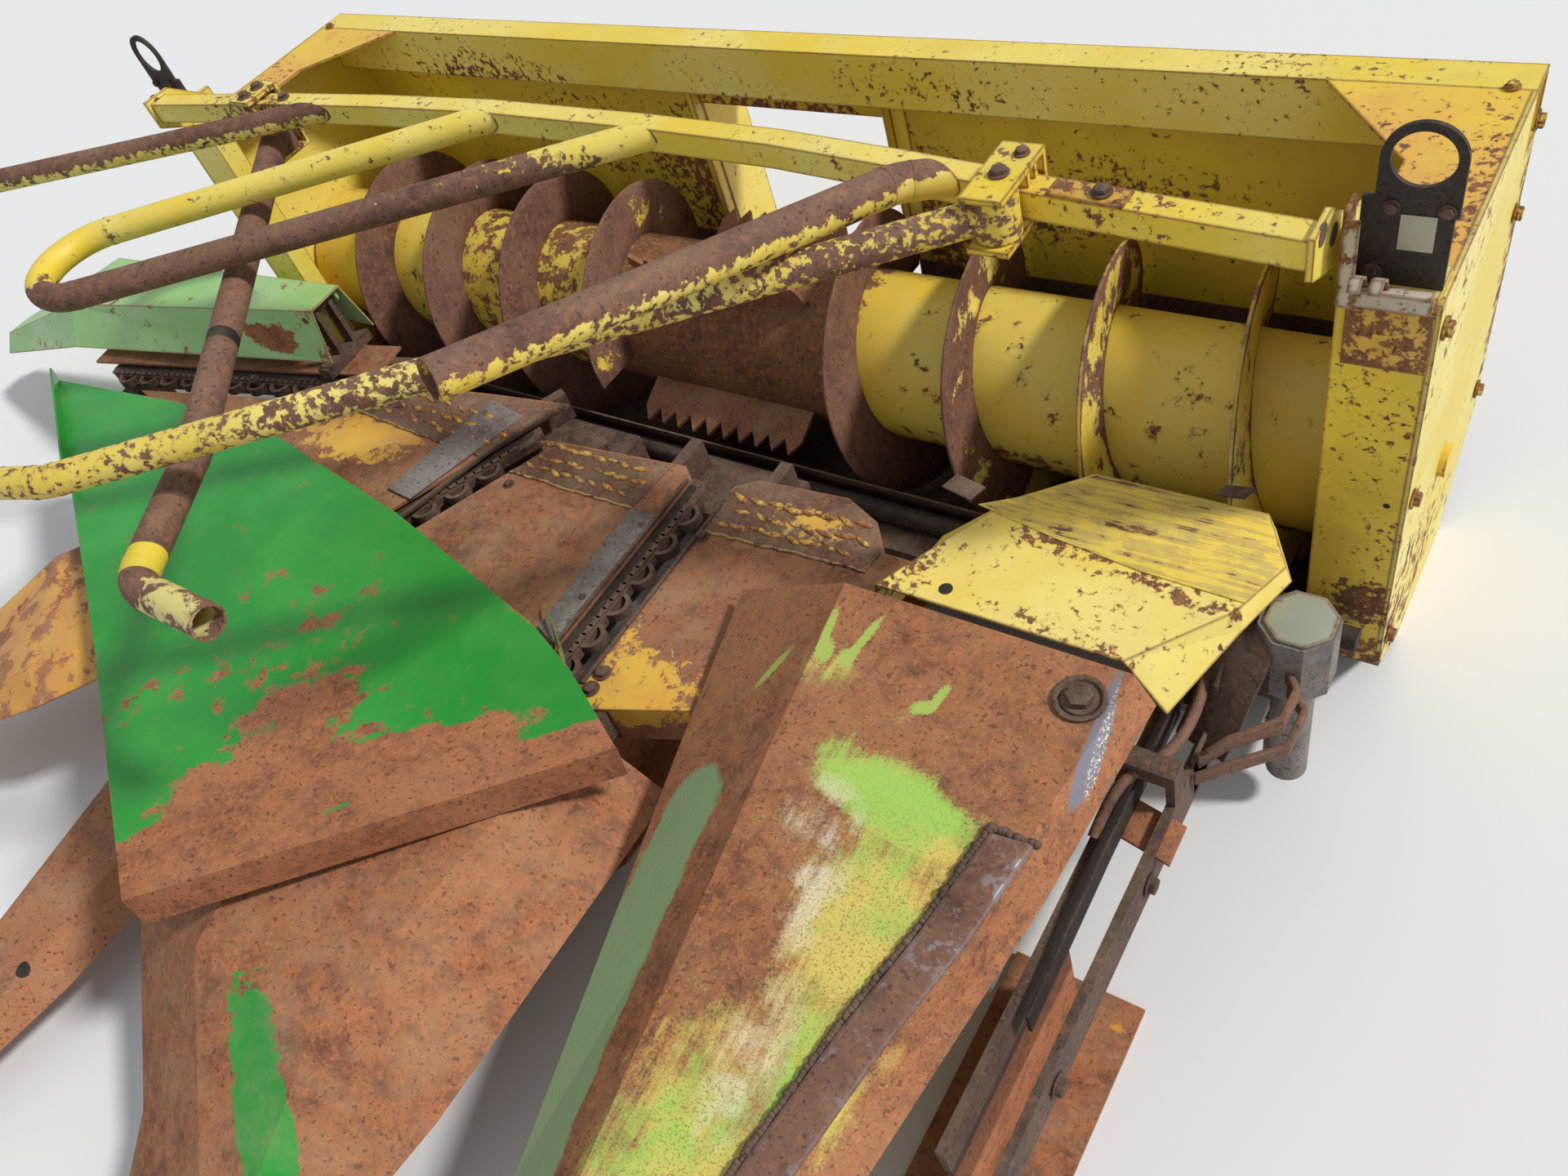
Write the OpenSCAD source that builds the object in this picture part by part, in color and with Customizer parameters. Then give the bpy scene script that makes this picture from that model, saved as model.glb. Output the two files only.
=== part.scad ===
// Row-crop header of a forage harvester: three row openings, cross auger and push bar.
// Millimetres. +X runs along the header to its right end seen from the front, +Y runs back
// to the harvester, +Z is up, and the skids and the trough stand on z = 0.

/* [Header frame] */
// Half of the width over the end sheets
half_w = 1220; // [1180:5:1260]
// Thickness of the end sheets
end_t = 6; // [4:1:10]
// Rear face of the top beam, measured from the push bar
rear_y = 545; // [520:5:600]
// Top of the beam, the posts and the end sheets
top_z = 750; // [735:5:780]
// Height of the top beam's section
beam_h = 95; // [80:5:110]
// Depth of the top beam's section
beam_d = 62; // [55:1:75]
// Wall of the beam, the posts and the other hollow sections
wall = 5; // [4:1:8]
// Thickness of folded sheets such as the back sheet and the trough
skin = 4; // [3:1:6]

/* [Feed opening] */
// Clear width of the feed opening in the back sheet
feed_w = 430; // [380:10:480]
// Lower edge of the feed opening
feed_z0 = 150; // [120:5:200]
// Upper edge of the feed opening
feed_z1 = 600; // [540:5:630]
// Depth of the throat that meets the harvester
throat_d = 120; // [80:5:160]

/* [Front posts] */
// Width of a post across its face
post_w = 105; // [90:5:120]
// Depth of a post
post_d = 45; // [35:5:60]
// Front face of a post
post_y = 50; // [40:5:70]
// Foot of a post
post_z0 = 80; // [60:5:100]

/* [Auger] */
// Place of the auger's axis behind the push bar
auger_y = 280; // [270:5:290]
// Height of the auger's axis
auger_z = 295; // [290:5:310]
// Radius of the drum
drum_r = 145; // [125:5:155]
// Radius over the flights
flight_r = 250; // [235:5:252]
// Pitch of the flights
pitch = 225; // [215:5:240]
// Thickness of a flight
flight_t = 6; // [4:1:8]
// Length of the bare middle of the drum, where the paddles are
middle_w = 430; // [380:10:460]
// Radius of the auger's stub shafts
stub_r = 25; // [20:1:30]
// Number of turns on each side
turns = 3.9; // [2.5:0.05:3.9]

/* [Row units] */
// Height of the deck plates
deck_z = 300; // [290:5:320]
// Thickness of a deck plate
deck_t = 6; // [4:1:8]
// Half of the gap between two deck plates
slot_half = 44; // [40:1:48]
// Height of the toolbar's section
bar_h = 100; // [80:5:120]

/* [Gathering chains] */
// Distance between two lugs along a chain
lug_step = 70; // [60:5:90]
// Reach of a lug beyond the chain
lug_reach = 26; // [20:1:28]
// Width of the chain's links
link_w = 16; // [12:1:18]
// Height of the chain's links
link_h = 18; // [14:1:22]

/* [Push bar] */
// Height of the square push bar's centre
push_z = 850; // [840:5:880]
// Width of the square push bar
push_s = 38; // [34:1:42]
// Gap between an end of the push bar and its post
push_gap = 6; // [6:1:20]
// Outer radius of the guide tubes on the push bar
tube_r = 23; // [21:1:24]
// Wall of the guide tubes
tube_t = 4; // [3:1:5]
// Radius of the push bar's hinge pins
hinge_r = 10; // [8:1:12]

/* [Hidden] */
$fn = 48;
fit = 0.05;
run_gap = 6;
eps = 0.01;

// The left divider lies swung out: place of its rear end, its turn and its length
left_rear = [-860, -190];
left_turn = -84;
left_len = 1480;
left_tip = 230;

// The footprint runs from the left divider's tip to the right stub shaft, and from the snout
// tips to the back of the throat; the origin is its middle, on the floor.
stub_out = 10;
snout_y = -1780;
foot_x0 = left_rear[0] + left_len * sin(left_turn) - left_tip * cos(left_turn);
foot_x1 = half_w + stub_out;
foot_y1 = rear_y + throat_d;
mid = [-(foot_x0 + foot_x1) / 2, -(snout_y + foot_y1) / 2, 0];

yellow = [0.80, 0.66, 0.16];
rust = [0.42, 0.27, 0.20];
green = [0.20, 0.55, 0.22];
pale_green = [0.56, 0.74, 0.45];
dark = [0.16, 0.16, 0.15];
steel = [0.45, 0.44, 0.42];

in_w = half_w - end_t;
push_half = in_w - post_w - push_gap;
trough_r = rear_y - auger_y - skin;

// Basic shapes

// A block given by its lowest and highest corners
module box(a, b) translate(a) cube(b - a);

// A round bar or tube between two points
module rod(a, b, r, bore = 0) {
    d = b - a;
    len = norm(d);
    translate(a) rotate([0, acos(d[2] / len), atan2(d[1], d[0])])
        difference() {
            cylinder(r = r, h = len);
            if (bore > 0) translate([0, 0, -1]) cylinder(r = bore, h = len + 2);
        }
}

// The children and their mirror image at the other end of the header
module both() for (side = [0, 1]) mirror([side, 0, 0]) children();

// A bent tube along +X: each step is [length, turn to the left, radius of the turn], and the
// last step is [length, depth of the bore in the open end]. A weld bead closes each seam.
bead = 0.6;
module seam(x, r) translate([x - 2, 0, 0]) rotate([0, 90, 0]) cylinder(r = r + bead, h = 4);
module bent(steps, r, t, i = 0) {
    s = steps[i];
    if (i > 0) seam(0, r);
    if (i < len(steps) - 1) seam(s[0], r);
    if (i == len(steps) - 1) rotate([0, 90, 0]) difference() {
        cylinder(r = r, h = s[0]);
        if (s[1] > 0) translate([0, 0, s[0] - s[1]]) cylinder(r = r - t, h = s[1] + 1);
    } else {
        side = sign(s[1]);
        a = abs(s[1]);
        rotate([0, 90, 0]) cylinder(r = r, h = s[0]);
        mirror([0, side > 0 ? 0 : 1, 0]) translate([s[0], s[2], 0]) rotate([0, 0, -90])
            rotate_extrude(angle = a) translate([s[2], 0]) circle(r = r);
        translate([s[0] + s[2] * sin(a), side * s[2] * (1 - cos(a)), 0]) rotate([0, 0, s[1]])
            bent(steps, r, t, i + 1);
    }
}

// A flat plate from an outline in X and Y, its upper face at height z
module plate(outline, z, t) translate([0, 0, z - t]) linear_extrude(t) polygon(outline);

// A plate from an outline in Y and Z, between two places along X
module side_plate(outline, x0, x1)
    translate([x0, 0, 0]) rotate([90, 0, 90]) linear_extrude(x1 - x0) polygon(outline);

// The outline offset by t to its right side, for an open row of points
function unit2(v) = v / norm(v);
function right_of(v) = [v[1], -v[0]];
function edge_normal(p, i) = right_of(unit2(p[i + 1] - p[i]));
function inset(p, t) = [
    for (i = [0 : len(p) - 1])
        let (a = edge_normal(p, max(i - 1, 0)), b = edge_normal(p, min(i, len(p) - 2)))
        p[i] + t * (a + b) / (1 + a * b)
];
function flipped(p) = [for (i = [len(p) - 1 : -1 : 0]) p[i]];

// A folded sheet: each station is [y, [[x, z], ...]], and all stations have as many points
module folded(stations, t) {
    rings = [for (s = stations) let (q = concat(s[1], flipped(inset(s[1], t))))
        [for (p = q) [p[0], s[0], p[1]]]];
    n = len(rings[0]);
    m = len(rings);
    half = n / 2;
    points = [for (r = rings) for (p = r) p];
    // Both skins are split along matching diagonals, so that the wall keeps its thickness
    walls = [for (k = [0 : m - 2]) for (i = [0 : n - 1])
        let (a = k * n + i, b = a + n, d = k * n + (i + 1) % n, c = d + n)
        for (f = i < half ? [[a, b, c], [a, c, d]] : [[a, b, d], [b, c, d]]) f];
    cap = [for (i = [0 : half - 2]) for (f = [
        [i, i + 1, n - 2 - i], [i, n - 2 - i, n - 1 - i]
    ]) f];
    last = [for (f = cap) [for (i = [2 : -1 : 0]) f[i] + (m - 1) * n]];
    polyhedron(points, concat(walls, cap, last), convexity = 6);
}

// Header frame

end_outline = [
    [post_y, post_z0], [post_y + 130, 0], [rear_y - 130, 0], [rear_y, 170],
    [rear_y, top_z - beam_h], [rear_y - beam_d, top_z - beam_h], [rear_y - beam_d, top_z],
    [post_y, top_z]
];

module end_sheet(side) {
    x0 = side > 0 ? in_w : -half_w;
    difference() {
        side_plate(end_outline, x0, x0 + end_t);
        translate([x0 - 1, auger_y, auger_z]) rotate([0, 90, 0])
            cylinder(r = stub_r + fit, h = end_t + 2);
    }
}

module end_sheet_left() color(yellow) translate(mid) end_sheet(-1);
module end_sheet_right() color(yellow) translate(mid) end_sheet(1);

// An open channel, its web to the front
module front_post(side) {
    x0 = side > 0 ? in_w - post_w : -in_w;
    difference() {
        box([x0, post_y, post_z0], [x0 + post_w, post_y + post_d, top_z - wall]);
        box([x0 + wall, post_y + wall, post_z0 - 1],
            [x0 + post_w - wall, post_y + post_d + 1, top_z]);
    }
}

module front_post_left() color(yellow) translate(mid) front_post(-1);
module front_post_right() color(yellow) translate(mid) front_post(1);

module top_beam() color(yellow) translate(mid) difference() {
    box([-half_w, rear_y - beam_d, top_z - beam_h], [half_w, rear_y, top_z]);
    box([-half_w - 1, rear_y - beam_d + wall, top_z - beam_h + wall],
        [half_w + 1, rear_y - wall, top_z - wall]);
}

// The top flanges that widen the corners, each with a lip along its free edge
gusset_reach = 254;
gusset_run = 170;
module corner_gussets() color(yellow) translate(mid) both() {
    beam_y = rear_y - beam_d;
    outline = [
        [in_w, beam_y], [half_w - gusset_reach, beam_y],
        [in_w - post_w, beam_y - gusset_run], [in_w - post_w, post_y], [in_w, post_y]
    ];
    plate(outline, top_z, wall);
}

module back_sheet() color(yellow) translate(mid) difference() {
    box([-in_w, rear_y - skin, auger_z], [in_w, rear_y, top_z - beam_h]);
    box([-feed_w / 2, rear_y - skin - 1, auger_z - 1], [feed_w / 2, rear_y + 1, feed_z1]);
}

// The pan round the lower half of the auger, open in its middle at the back for the crop
module trough() color(rust) translate(mid) difference() {
    translate([in_w, auger_y, auger_z]) rotate([0, -90, 0]) rotate([0, 0, 180])
        difference() {
            cylinder(r = trough_r + skin, h = 2 * in_w, $fn = 96);
            translate([0, 0, -1]) cylinder(r = trough_r, h = 2 * in_w + 2, $fn = 96);
        }
    box([-half_w, -100, auger_z], [half_w, rear_y + 100, top_z]);
    box([-half_w, -100, auger_z - 75], [half_w, auger_y, top_z]);
    box([-feed_w / 2, auger_y + 150, feed_z0], [feed_w / 2, rear_y + 100, top_z]);
    both() box([in_w - post_w, -100, 0], [half_w, post_y + post_d, top_z]);
}

// The duct behind the feed opening, with a bolted flange for the harvester's feeder
duct_t = 10;
flange_t = 12;
flange_w = 60;
flange_hole = [feed_w / 2 + 35, 240];
module throat_frame() color(yellow) translate(mid) difference() {
    y1 = rear_y + throat_d;
    w = feed_w / 2;
    union() {
        box([-w - duct_t, rear_y, feed_z0 - duct_t], [w + duct_t, y1, feed_z1 + duct_t]);
        box([-w - flange_w, y1 - flange_t, feed_z0 - flange_w], [w + flange_w, y1, feed_z1 + 55]);
        box([-w - flange_w, rear_y, feed_z0 - flange_w], [w + flange_w, rear_y + 8, feed_z1 + 55]);
    }
    box([-w, rear_y - 1, feed_z0], [w, y1 + 1, feed_z1]);
    for (x = [-1, 1]) for (z = [-1, 1])
        translate([x * flange_hole[0], y1 - flange_t - 1, 370 + z * flange_hole[1]])
            rotate([-90, 0, 0]) cylinder(r = 9, h = flange_t + 2);
}

// Row units

// The row openings from left to right: [rear end in X and Y, turn from straight ahead, length]
openings = [
    [[-760, -130], -78, 900],
    [[-246, -105], -26, 620],
    [[158, -100], 0, 640]
];
function place(i) = openings[i][0];
function turn(i) = openings[i][1];
function run(i) = openings[i][2];
module at_opening(i) translate([place(i)[0], place(i)[1], 0]) rotate([0, 0, turn(i)]) children();

// A point beside an opening: x to its right, y forward of its rear end
function beside(i, x, y) = place(i) + [
    x * cos(turn(i)) - y * sin(-turn(i)),
    x * sin(turn(i)) - y * cos(turn(i))
];

deck_gap = 8;
deck_under = deck_z - deck_t;
outer_w = 140;
module deck_outer() color(rust) translate(mid) plate([
    beside(0, -slot_half, run(0)), beside(0, -slot_half, deck_gap),
    beside(0, -outer_w, deck_gap), beside(0, -outer_w, run(0))
], deck_z, deck_t);
module deck_left() color(rust) translate(mid) plate([
    beside(0, slot_half, run(0) - 240), beside(1, -slot_half, run(1) - 120),
    beside(1, -slot_half, -60), [-458, -57], [-719, -99], beside(0, slot_half, deck_gap)
], deck_z, deck_t);
module deck_middle() color(rust) translate(mid) plate([
    beside(1, slot_half, run(1) - 120), beside(2, -slot_half, run(2) - 120),
    beside(2, -slot_half, 3 * deck_gap), beside(2, -slot_half - 30, 0), beside(1, slot_half, 0)
], deck_z, deck_t);

// The right deck ends in a front edge that is turned down, cut out round the unit's rail
deck_right_x = 640;
deck_front = [[202, -574], [242, -596], [400, -535]];
front_drop = 80;
module deck_right() color(rust) translate(mid) {
    plate(concat(deck_front, [
        [deck_right_x, -440], [deck_right_x, -160], [530, -160], [486, -106], [413, -74],
        [238, -87], [202, -115]
    ]), deck_z, deck_t);
    difference() {
        translate([0, 0, deck_z - front_drop]) linear_extrude(front_drop - deck_t)
            polygon(concat(deck_front, flipped(inset(deck_front, -deck_t))));
        translate([place(2)[0] + rail_x, -run(2), rail_z0 - tie_h - 1])
            translate([-rail_w / 2 - 3, -200, 0]) cube([rail_w + 6, 400, rail_h + tie_h + 1]);
    }
}

// The toolbar that carries the row units
bar_y = post_y - bar_h;
bar_z0 = 60;
bar_top = bar_z0 + bar_h;
module toolbar() color(rust) translate(mid) difference() {
    w = in_w - 64;
    box([-w, bar_y, bar_z0], [w, bar_y + bar_h, bar_top]);
    box([-w - 1, bar_y + wall, bar_z0 + wall], [w + 1, bar_y + bar_h - wall, bar_top - wall]);
}

// A unit frame: two rails under the decks, a cross tie at the front and a gearbox on the toolbar
rail_x = 100;
rail_w = 24;
rail_h = 60;
rail_z0 = deck_under - rail_h;
tie_h = 12;
module unit_frame(i, box_y0, box_x0, box_x1) {
    at_opening(i) {
        for (s = [-1, 1]) box([s * rail_x - rail_w / 2, -run(i) + 40, rail_z0],
            [s * rail_x + rail_w / 2, 70, deck_under - fit]);
        box([-rail_x - rail_w / 2, -run(i) + 60, rail_z0 - tie_h],
            [rail_x + rail_w / 2, -run(i) + 120, rail_z0]);
    }
    difference() {
        box([box_x0, box_y0, bar_top], [box_x1, -12, rail_z0]);
        rod([box_x0 - 1, shaft_y, bar_top + shaft_r], [box_x1 + 1, shaft_y, bar_top + shaft_r],
            shaft_r);
    }
}
shaft_r = 18;
shaft_y = 12;
module unit_frame_left() color(rust) translate(mid) unit_frame(0, -260, -880, -700);
module unit_frame_middle() color(rust) translate(mid) unit_frame(1, -180, -360, -120);
module unit_frame_right() color(rust) translate(mid) {
    unit_frame(2, -140, 41, 275);
    box([carrier_x - 20, -900, rail_z0 - tie_h], [carrier_x + 20, -620, snout_seat]);
}
snout_seat = 262;
carrier_x = 172;

// One gathering chain: a flat loop whose inner strand runs under the deck at the left of its
// opening, with D-shaped lugs on the outer strand
loop_w = 60;
loop_x = -45;
chain_z = deck_under - 8 - link_h;
module loop(len, w) {
    translate([-w / 2, w / 2]) square([w, len - w]);
    translate([0, w / 2]) circle(d = w);
    translate([0, len - w / 2]) circle(d = w);
}
module chain(i) at_opening(i) translate([loop_x, -run(i) + 60, chain_z]) linear_extrude(link_h) {
    len = run(i) - 70;
    difference() {
        loop(len, loop_w);
        translate([0, link_w]) loop(len - 2 * link_w, loop_w - 2 * link_w);
    }
    for (k = [1 : floor(len / lug_step) - 1]) translate([loop_w / 2 - 1, k * lug_step])
        difference() {
            circle(r = lug_reach);
            circle(r = lug_reach - 8);
            translate([-2 * lug_reach, -lug_reach]) square([2 * lug_reach, 2 * lug_reach]);
        }
}
module chain_left() color(rust) translate(mid) chain(0);
module chain_middle() color(rust) translate(mid) chain(1);
module chain_right() color(rust) translate(mid) chain(2);

// The guide inside each chain and the ledge that the chain runs on
seat = 0.3;
module chain_guides() color(dark) translate(mid) for (i = [0 : 2]) at_opening(i)
    translate([loop_x, -run(i) + 60, 0]) {
        len = run(i) - 70;
        translate([0, link_w + seat, rail_z0]) linear_extrude(chain_z + link_h - rail_z0)
            loop(len - 2 * link_w - 2 * seat, loop_w - 2 * link_w - 2 * seat);
        translate([0, 0, chain_z - 6]) linear_extrude(6) loop(len, loop_w - 8);
    }

// The two rails of the side frame: left faces, thickness, lower and upper edges, rear end
side_x = [1000, 1068];
side_t = 12;
side_z0 = 180;
side_z1 = 260;
side_y1 = -12;

// The skid shoes: [x, y of the heel, length, top of the web], each a sled with a web over it
shoes = [
    [-1552, -420, 240, rail_z0 - tie_h],
    [-455, -590, 240, rail_z0 - tie_h],
    [carrier_x, -700, 260, rail_z0 - tie_h],
    [side_x[0] + side_t / 2, -960, 400, side_z0]
];
shoe_w = 190;
shoe_t = 8;
module skids() color(rust) translate(mid) for (s = shoes) translate([s[0], s[1], 0]) {
    translate([-shoe_w / 2, 0, 0]) rotate([90, 0, 90]) linear_extrude(shoe_w) polygon([
        [0, 0], [s[2], 0], [s[2], shoe_t], [0, shoe_t], [-60, 50], [-66, 44]
    ]);
    box([-6, 20, shoe_t], [6, s[2] - 20, s[3]]);
}

// The green hood that lies loose across the units: its outline, the tilt of its top, a flange
// turned down along the wide end and a lip along the rear edge that stands on the decks
hood_outline = [
    [-1570, -392], [-1150, -342], [-780, -344], [-333, -421], [105, -530], [234, -580],
    [400, -668], [-80, -1180], [-610, -892], [-1100, -640]
];
hood_z = 360;
hood_tilt = -6.4;
module hood_wall(a, b, depth) {
    d = unit2(b - a);
    n = skin * [d[1], -d[0]];
    translate([0, 0, -depth]) linear_extrude(depth) polygon([a, b, b - n, a - n]);
}
module on_hood() translate([0, hood_outline[0][1], hood_z]) rotate([hood_tilt, 0, 0])
    translate([0, -hood_outline[0][1], 0]) children();
module loose_hood() color(green) translate(mid) {
    o = hood_outline;
    on_hood() {
        plate(o, 0, skin);
        hood_wall(o[7], o[6], 60);
        translate([0, 0, 32]) hood_wall(o[0], o[9], 36);
    }
    difference() {
        translate([0, 0, hood_z + 20]) hood_wall(o[4], o[2], hood_z + 20 - deck_z);
        on_hood() translate([2 * o[0][0], 4 * o[0][1], -skin / 2]) cube(-4 * o[0][0]);
    }
}

// Snouts and covers

bulkhead_y = -704;
module snout_middle() color(rust) translate(mid) {
    folded([
        [snout_y, [[150, 50], [175, 80], [205, 82], [230, 50]]],
        [-1380, [[-60, 175], [165, 255], [260, 252], [350, 180]]],
        [-1170, [[-305, 220], [-20, 346], [240, 340], [400, 220]]],
        [-640, [[-270, 226], [-150, 372], [280, 344], [410, 230]]]
    ], skin);
    box([0, bulkhead_y, snout_seat], [270, bulkhead_y + skin, 342.5]);
}

module snout_inner() color(rust) translate(mid) folded([
    [-1760, [[-620, 50], [-600, 75], [-580, 77], [-560, 50]]],
    [-1330, [[-685, 104], [-620, 150], [-500, 146], [-440, 100]]],
    [-900, [[-700, 120], [-640, 200], [-450, 203], [-400, 124]]],
    [-600, [[-560, 130], [-540, rail_z0 - tie_h], [-430, rail_z0 - tie_h], [-400, 130]]]
], skin);

divider_rear = [-680, -560];
divider_turn = -45;
module divider_left() color(yellow) translate(mid)
    translate([divider_rear[0], divider_rear[1], 0]) rotate([0, 0, divider_turn]) folded([
        [-1000, [[-30, 110], [-10, 130], [10, 132], [30, 110]]],
        [-420, [[-215, 272], [-150, 314], [150, 308], [215, 268]]],
        [-110, [[-215, deck_z + skin], [-150, 330], [150, 330], [215, deck_z + skin]]],
        [0, [[-215, deck_z + skin], [-150, 330], [150, 330], [215, deck_z + skin]]]
    ], skin);

cover_z = 436;
module end_cover() color(yellow) translate(mid) folded([
    [-310, [[590, deck_z + skin], [628, cover_z], [988, cover_z], [1043, 350]]],
    [-190, [[590, deck_z + skin], [690, cover_z], [1085, cover_z], [1096, 404]]],
    [-100, [[602, deck_z + skin], [740, cover_z], [1118, cover_z], [1126, 410]]],
    [-20, [[690, deck_z + skin], [830, cover_z], [1070, cover_z], [1080, 408]]]
], skin);

// The side frame at the right: two rails on a pedestal, the bearer across them with the lugs
// and the pin of the right snout, and a post under the end cover
bearer_x = [560, 1080];
bearer_z1 = 326;
snout_pin = [-370, 412];
ear_x = [620, 960];
ear_t = 12;
ear_gap = 8;
module side_frame() color(steel) translate(mid) {
    for (x = side_x) {
        box([x, -900, side_z0], [x + side_t, side_y1, side_z1]);
        box([x, -385, side_z1], [x + side_t, -355, deck_z]);
    }
    box([side_x[0], -180, bar_top], [side_x[1] + side_t, side_y1, side_z0]);
    box([side_x[0], -120, side_z1], [side_x[0] + side_t, -80, cover_z - skin]);
    box([bearer_x[0], -385, deck_z], [bearer_x[1], -355, bearer_z1]);
    for (x = [ear_x[0] + ear_t + ear_gap, ear_x[1] - ear_t - ear_gap]) {
        box([x, -382, bearer_z1], [x + ear_t, -358, snout_pin[1]]);
        translate([x, snout_pin[0], snout_pin[1]]) rotate([0, 90, 0]) cylinder(r = 12, h = ear_t);
    }
    translate([ear_x[0], snout_pin[0], snout_pin[1]]) rotate([0, 90, 0])
        cylinder(r = snout_pin_r, h = ear_x[1] + ear_t - ear_x[0]);
}
snout_pin_r = 8;
module side_gearbox() color(steel) translate(mid) {
    translate([1152, -150, 290]) rotate([0, 0, 22.5]) cylinder(r = 50, h = 110, $fn = 8);
    translate([1152, -150, bar_z0]) cylinder(r = 28, h = 231);
    box([1118, -150, bar_z0], [1150, bar_y, bar_top]);
}

module drive_shaft() color(dark) translate(mid)
    rod([-in_w + 20, shaft_y, bar_top + shaft_r], [in_w - 20, shaft_y, bar_top + shaft_r], shaft_r);

// The bearer and the pin of the left snout, in that snout's own direction
left_ear_x = [-190, -106];
module left_bearer() color(steel) translate(mid) at_left() {
    box([-205, -45, deck_z], [-60, -15, bearer_z1]);
    for (x = [left_ear_x[0] + ear_t + ear_gap, left_ear_x[1] - ear_t - ear_gap]) {
        box([x, -42, bearer_z1], [x + ear_t, -18, 432]);
        translate([x, -30, 432]) rotate([0, 90, 0]) cylinder(r = 12, h = ear_t);
    }
    translate([left_ear_x[0], -30, 432]) rotate([0, 90, 0])
        cylinder(r = snout_pin_r, h = left_ear_x[1] + ear_t - left_ear_x[0]);
}
module at_left() translate([left_rear[0], left_rear[1], 0]) rotate([0, 0, left_turn]) children();

// The plates with the lifting eyes, standing on the posts' tops
eye_t = 6;
eye_r = 32;
eye_x = 1176;
eye_y = 64;
eye_z = 915;
hinge_t = 12;
module lift_eyes() color(dark) translate(mid) both()
    translate([0, eye_y + eye_t, 0]) rotate([90, 0, 0]) linear_extrude(eye_t)
        difference() {
            union() {
                translate([in_w - post_w + hinge_t + fit, top_z + 8])
                    square([post_w - hinge_t - fit, 110]);
                translate([eye_x, eye_z]) circle(r = half_w - eye_x - 2);
                translate([eye_x - 42, top_z + 100]) square([84, eye_z - top_z - 100]);
            }
            translate([eye_x, eye_z]) circle(r = eye_r);
        }

// The brackets on the posts' tops with the pins that the push bar folds on
hinge_y = 72;
hinge_z = 800;
module hinge_brackets() color(yellow) translate(mid) both() {
    box([in_w - post_w, post_y, top_z], [in_w, post_y + 60, top_z + 8]);
    box([in_w - post_w, post_y, top_z + 8], [in_w - post_w + hinge_t, post_y + 60, hinge_z + 30]);
    translate([in_w - post_w - 34, hinge_y, hinge_z]) rotate([0, 90, 0])
        cylinder(r = hinge_r, h = 40);
}

// Auger

drum_half = in_w - 12;
module auger_drum() color(yellow) translate(mid) translate([0, auger_y, auger_z])
    rotate([0, 90, 0]) {
        translate([0, 0, -drum_half]) cylinder(r = drum_r, h = 2 * drum_half);
        translate([0, 0, -half_w - 10]) cylinder(r = stub_r, h = 2 * half_w + 20);
    }

// Helical flights, left- and right-handed so that both feed the middle
steps = 20;
function ring(a, x) = [for (s = [[drum_r / cos(180 / steps) + 0.2, 0], [flight_r, 0],
    [flight_r, flight_t], [drum_r / cos(180 / steps) + 0.2, flight_t]])
    [x + s[1], s[0] * cos(a), s[0] * sin(a)]];
module flight(hand) {
    count = round(turns * steps);
    start = middle_w / 2;
    rings = [for (k = [0 : count]) ring(hand * k * 360 / steps, start + k * pitch / steps)];
    walls = [for (k = [0 : count - 1]) for (i = [0 : 3]) for (f = [
        [k * 4 + i, k * 4 + (i + 1) % 4, (k + 1) * 4 + (i + 1) % 4],
        [k * 4 + i, (k + 1) * 4 + (i + 1) % 4, (k + 1) * 4 + i]
    ]) f];
    ends = [[3, 2, 1, 0], [for (i = [0 : 3]) count * 4 + i]];
    polyhedron([for (r = rings) for (p = r) p], concat(walls, ends), convexity = 12);
}
module auger_flights() color(rust) translate(mid) translate([0, auger_y, auger_z]) {
    flight(1);
    rotate([0, 0, 180]) flight(1);
}

// Toothed paddles across the middle of the drum
paddle_h = 92;
module feed_paddles() color(rust) translate(mid) translate([0, auger_y, auger_z])
    for (k = [0 : 3]) rotate([90 * k + 25, 0, 0]) translate([-190, 4, drum_r + 0.3])
        rotate([90, 0, 0]) linear_extrude(8) polygon(concat(
            [[0, 0]], [for (i = [0 : 9]) for (p = [[i * 38, paddle_h - 30], [i * 38 + 19, paddle_h]]) p],
            [[380, paddle_h - 30], [380, 0]]));

// Push bar

half_s = push_s / 2;
end_plate_t = 8;

// The bar is bowed back by years of use: [x, y] along its middle
bar_end = push_half - end_plate_t / 2;
bar_line = [
    [-bar_end, -6], [-750, 38], [-500, 60], [-240, 75], [100, 74], [350, 66], [560, 46],
    [780, 21], [bar_end, -8]
];
function bar_at(x) = lookup(x, bar_line);
module band(w) polygon(concat(inset(bar_line, w), flipped(inset(bar_line, -w))));
module push_bar() color(yellow) translate(mid) {
    difference() {
        translate([0, 0, push_z - half_s]) linear_extrude(push_s) band(half_s);
        translate([0, 0, push_z - half_s + tube_t]) linear_extrude(push_s - 2 * tube_t)
            band(half_s - tube_t);
    }
    both() difference() {
        side_plate([
            [-half_s - 14, push_z - half_s - 8], [hinge_y - 20, hinge_z - 22],
            [hinge_y + 22, hinge_z - 22], [hinge_y + 22, hinge_z + 24],
            [half_s + 6, push_z + half_s + 8], [-half_s - 14, push_z + half_s + 8]
        ], push_half - end_plate_t, push_half);
        translate([push_half - end_plate_t - 1, hinge_y, hinge_z]) rotate([0, 90, 0])
            cylinder(r = hinge_r + fit, h = end_plate_t + 2);
    }
}

// The bent tubes on the bar: [x and z of the root, heading, climb, radius, steps]
module tube_on_bar(x, z, heading, climb, r, steps)
    translate([x, bar_at(x), z]) rotate([0, -climb, heading]) bent(steps, r, tube_t);
module off_bar() difference() {
    union() children();
    translate([0, 0, push_z - 100]) linear_extrude(200)
        polygon(concat(inset(bar_line, half_s), [[push_half, 300], [-push_half, 300]]));
}

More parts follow.
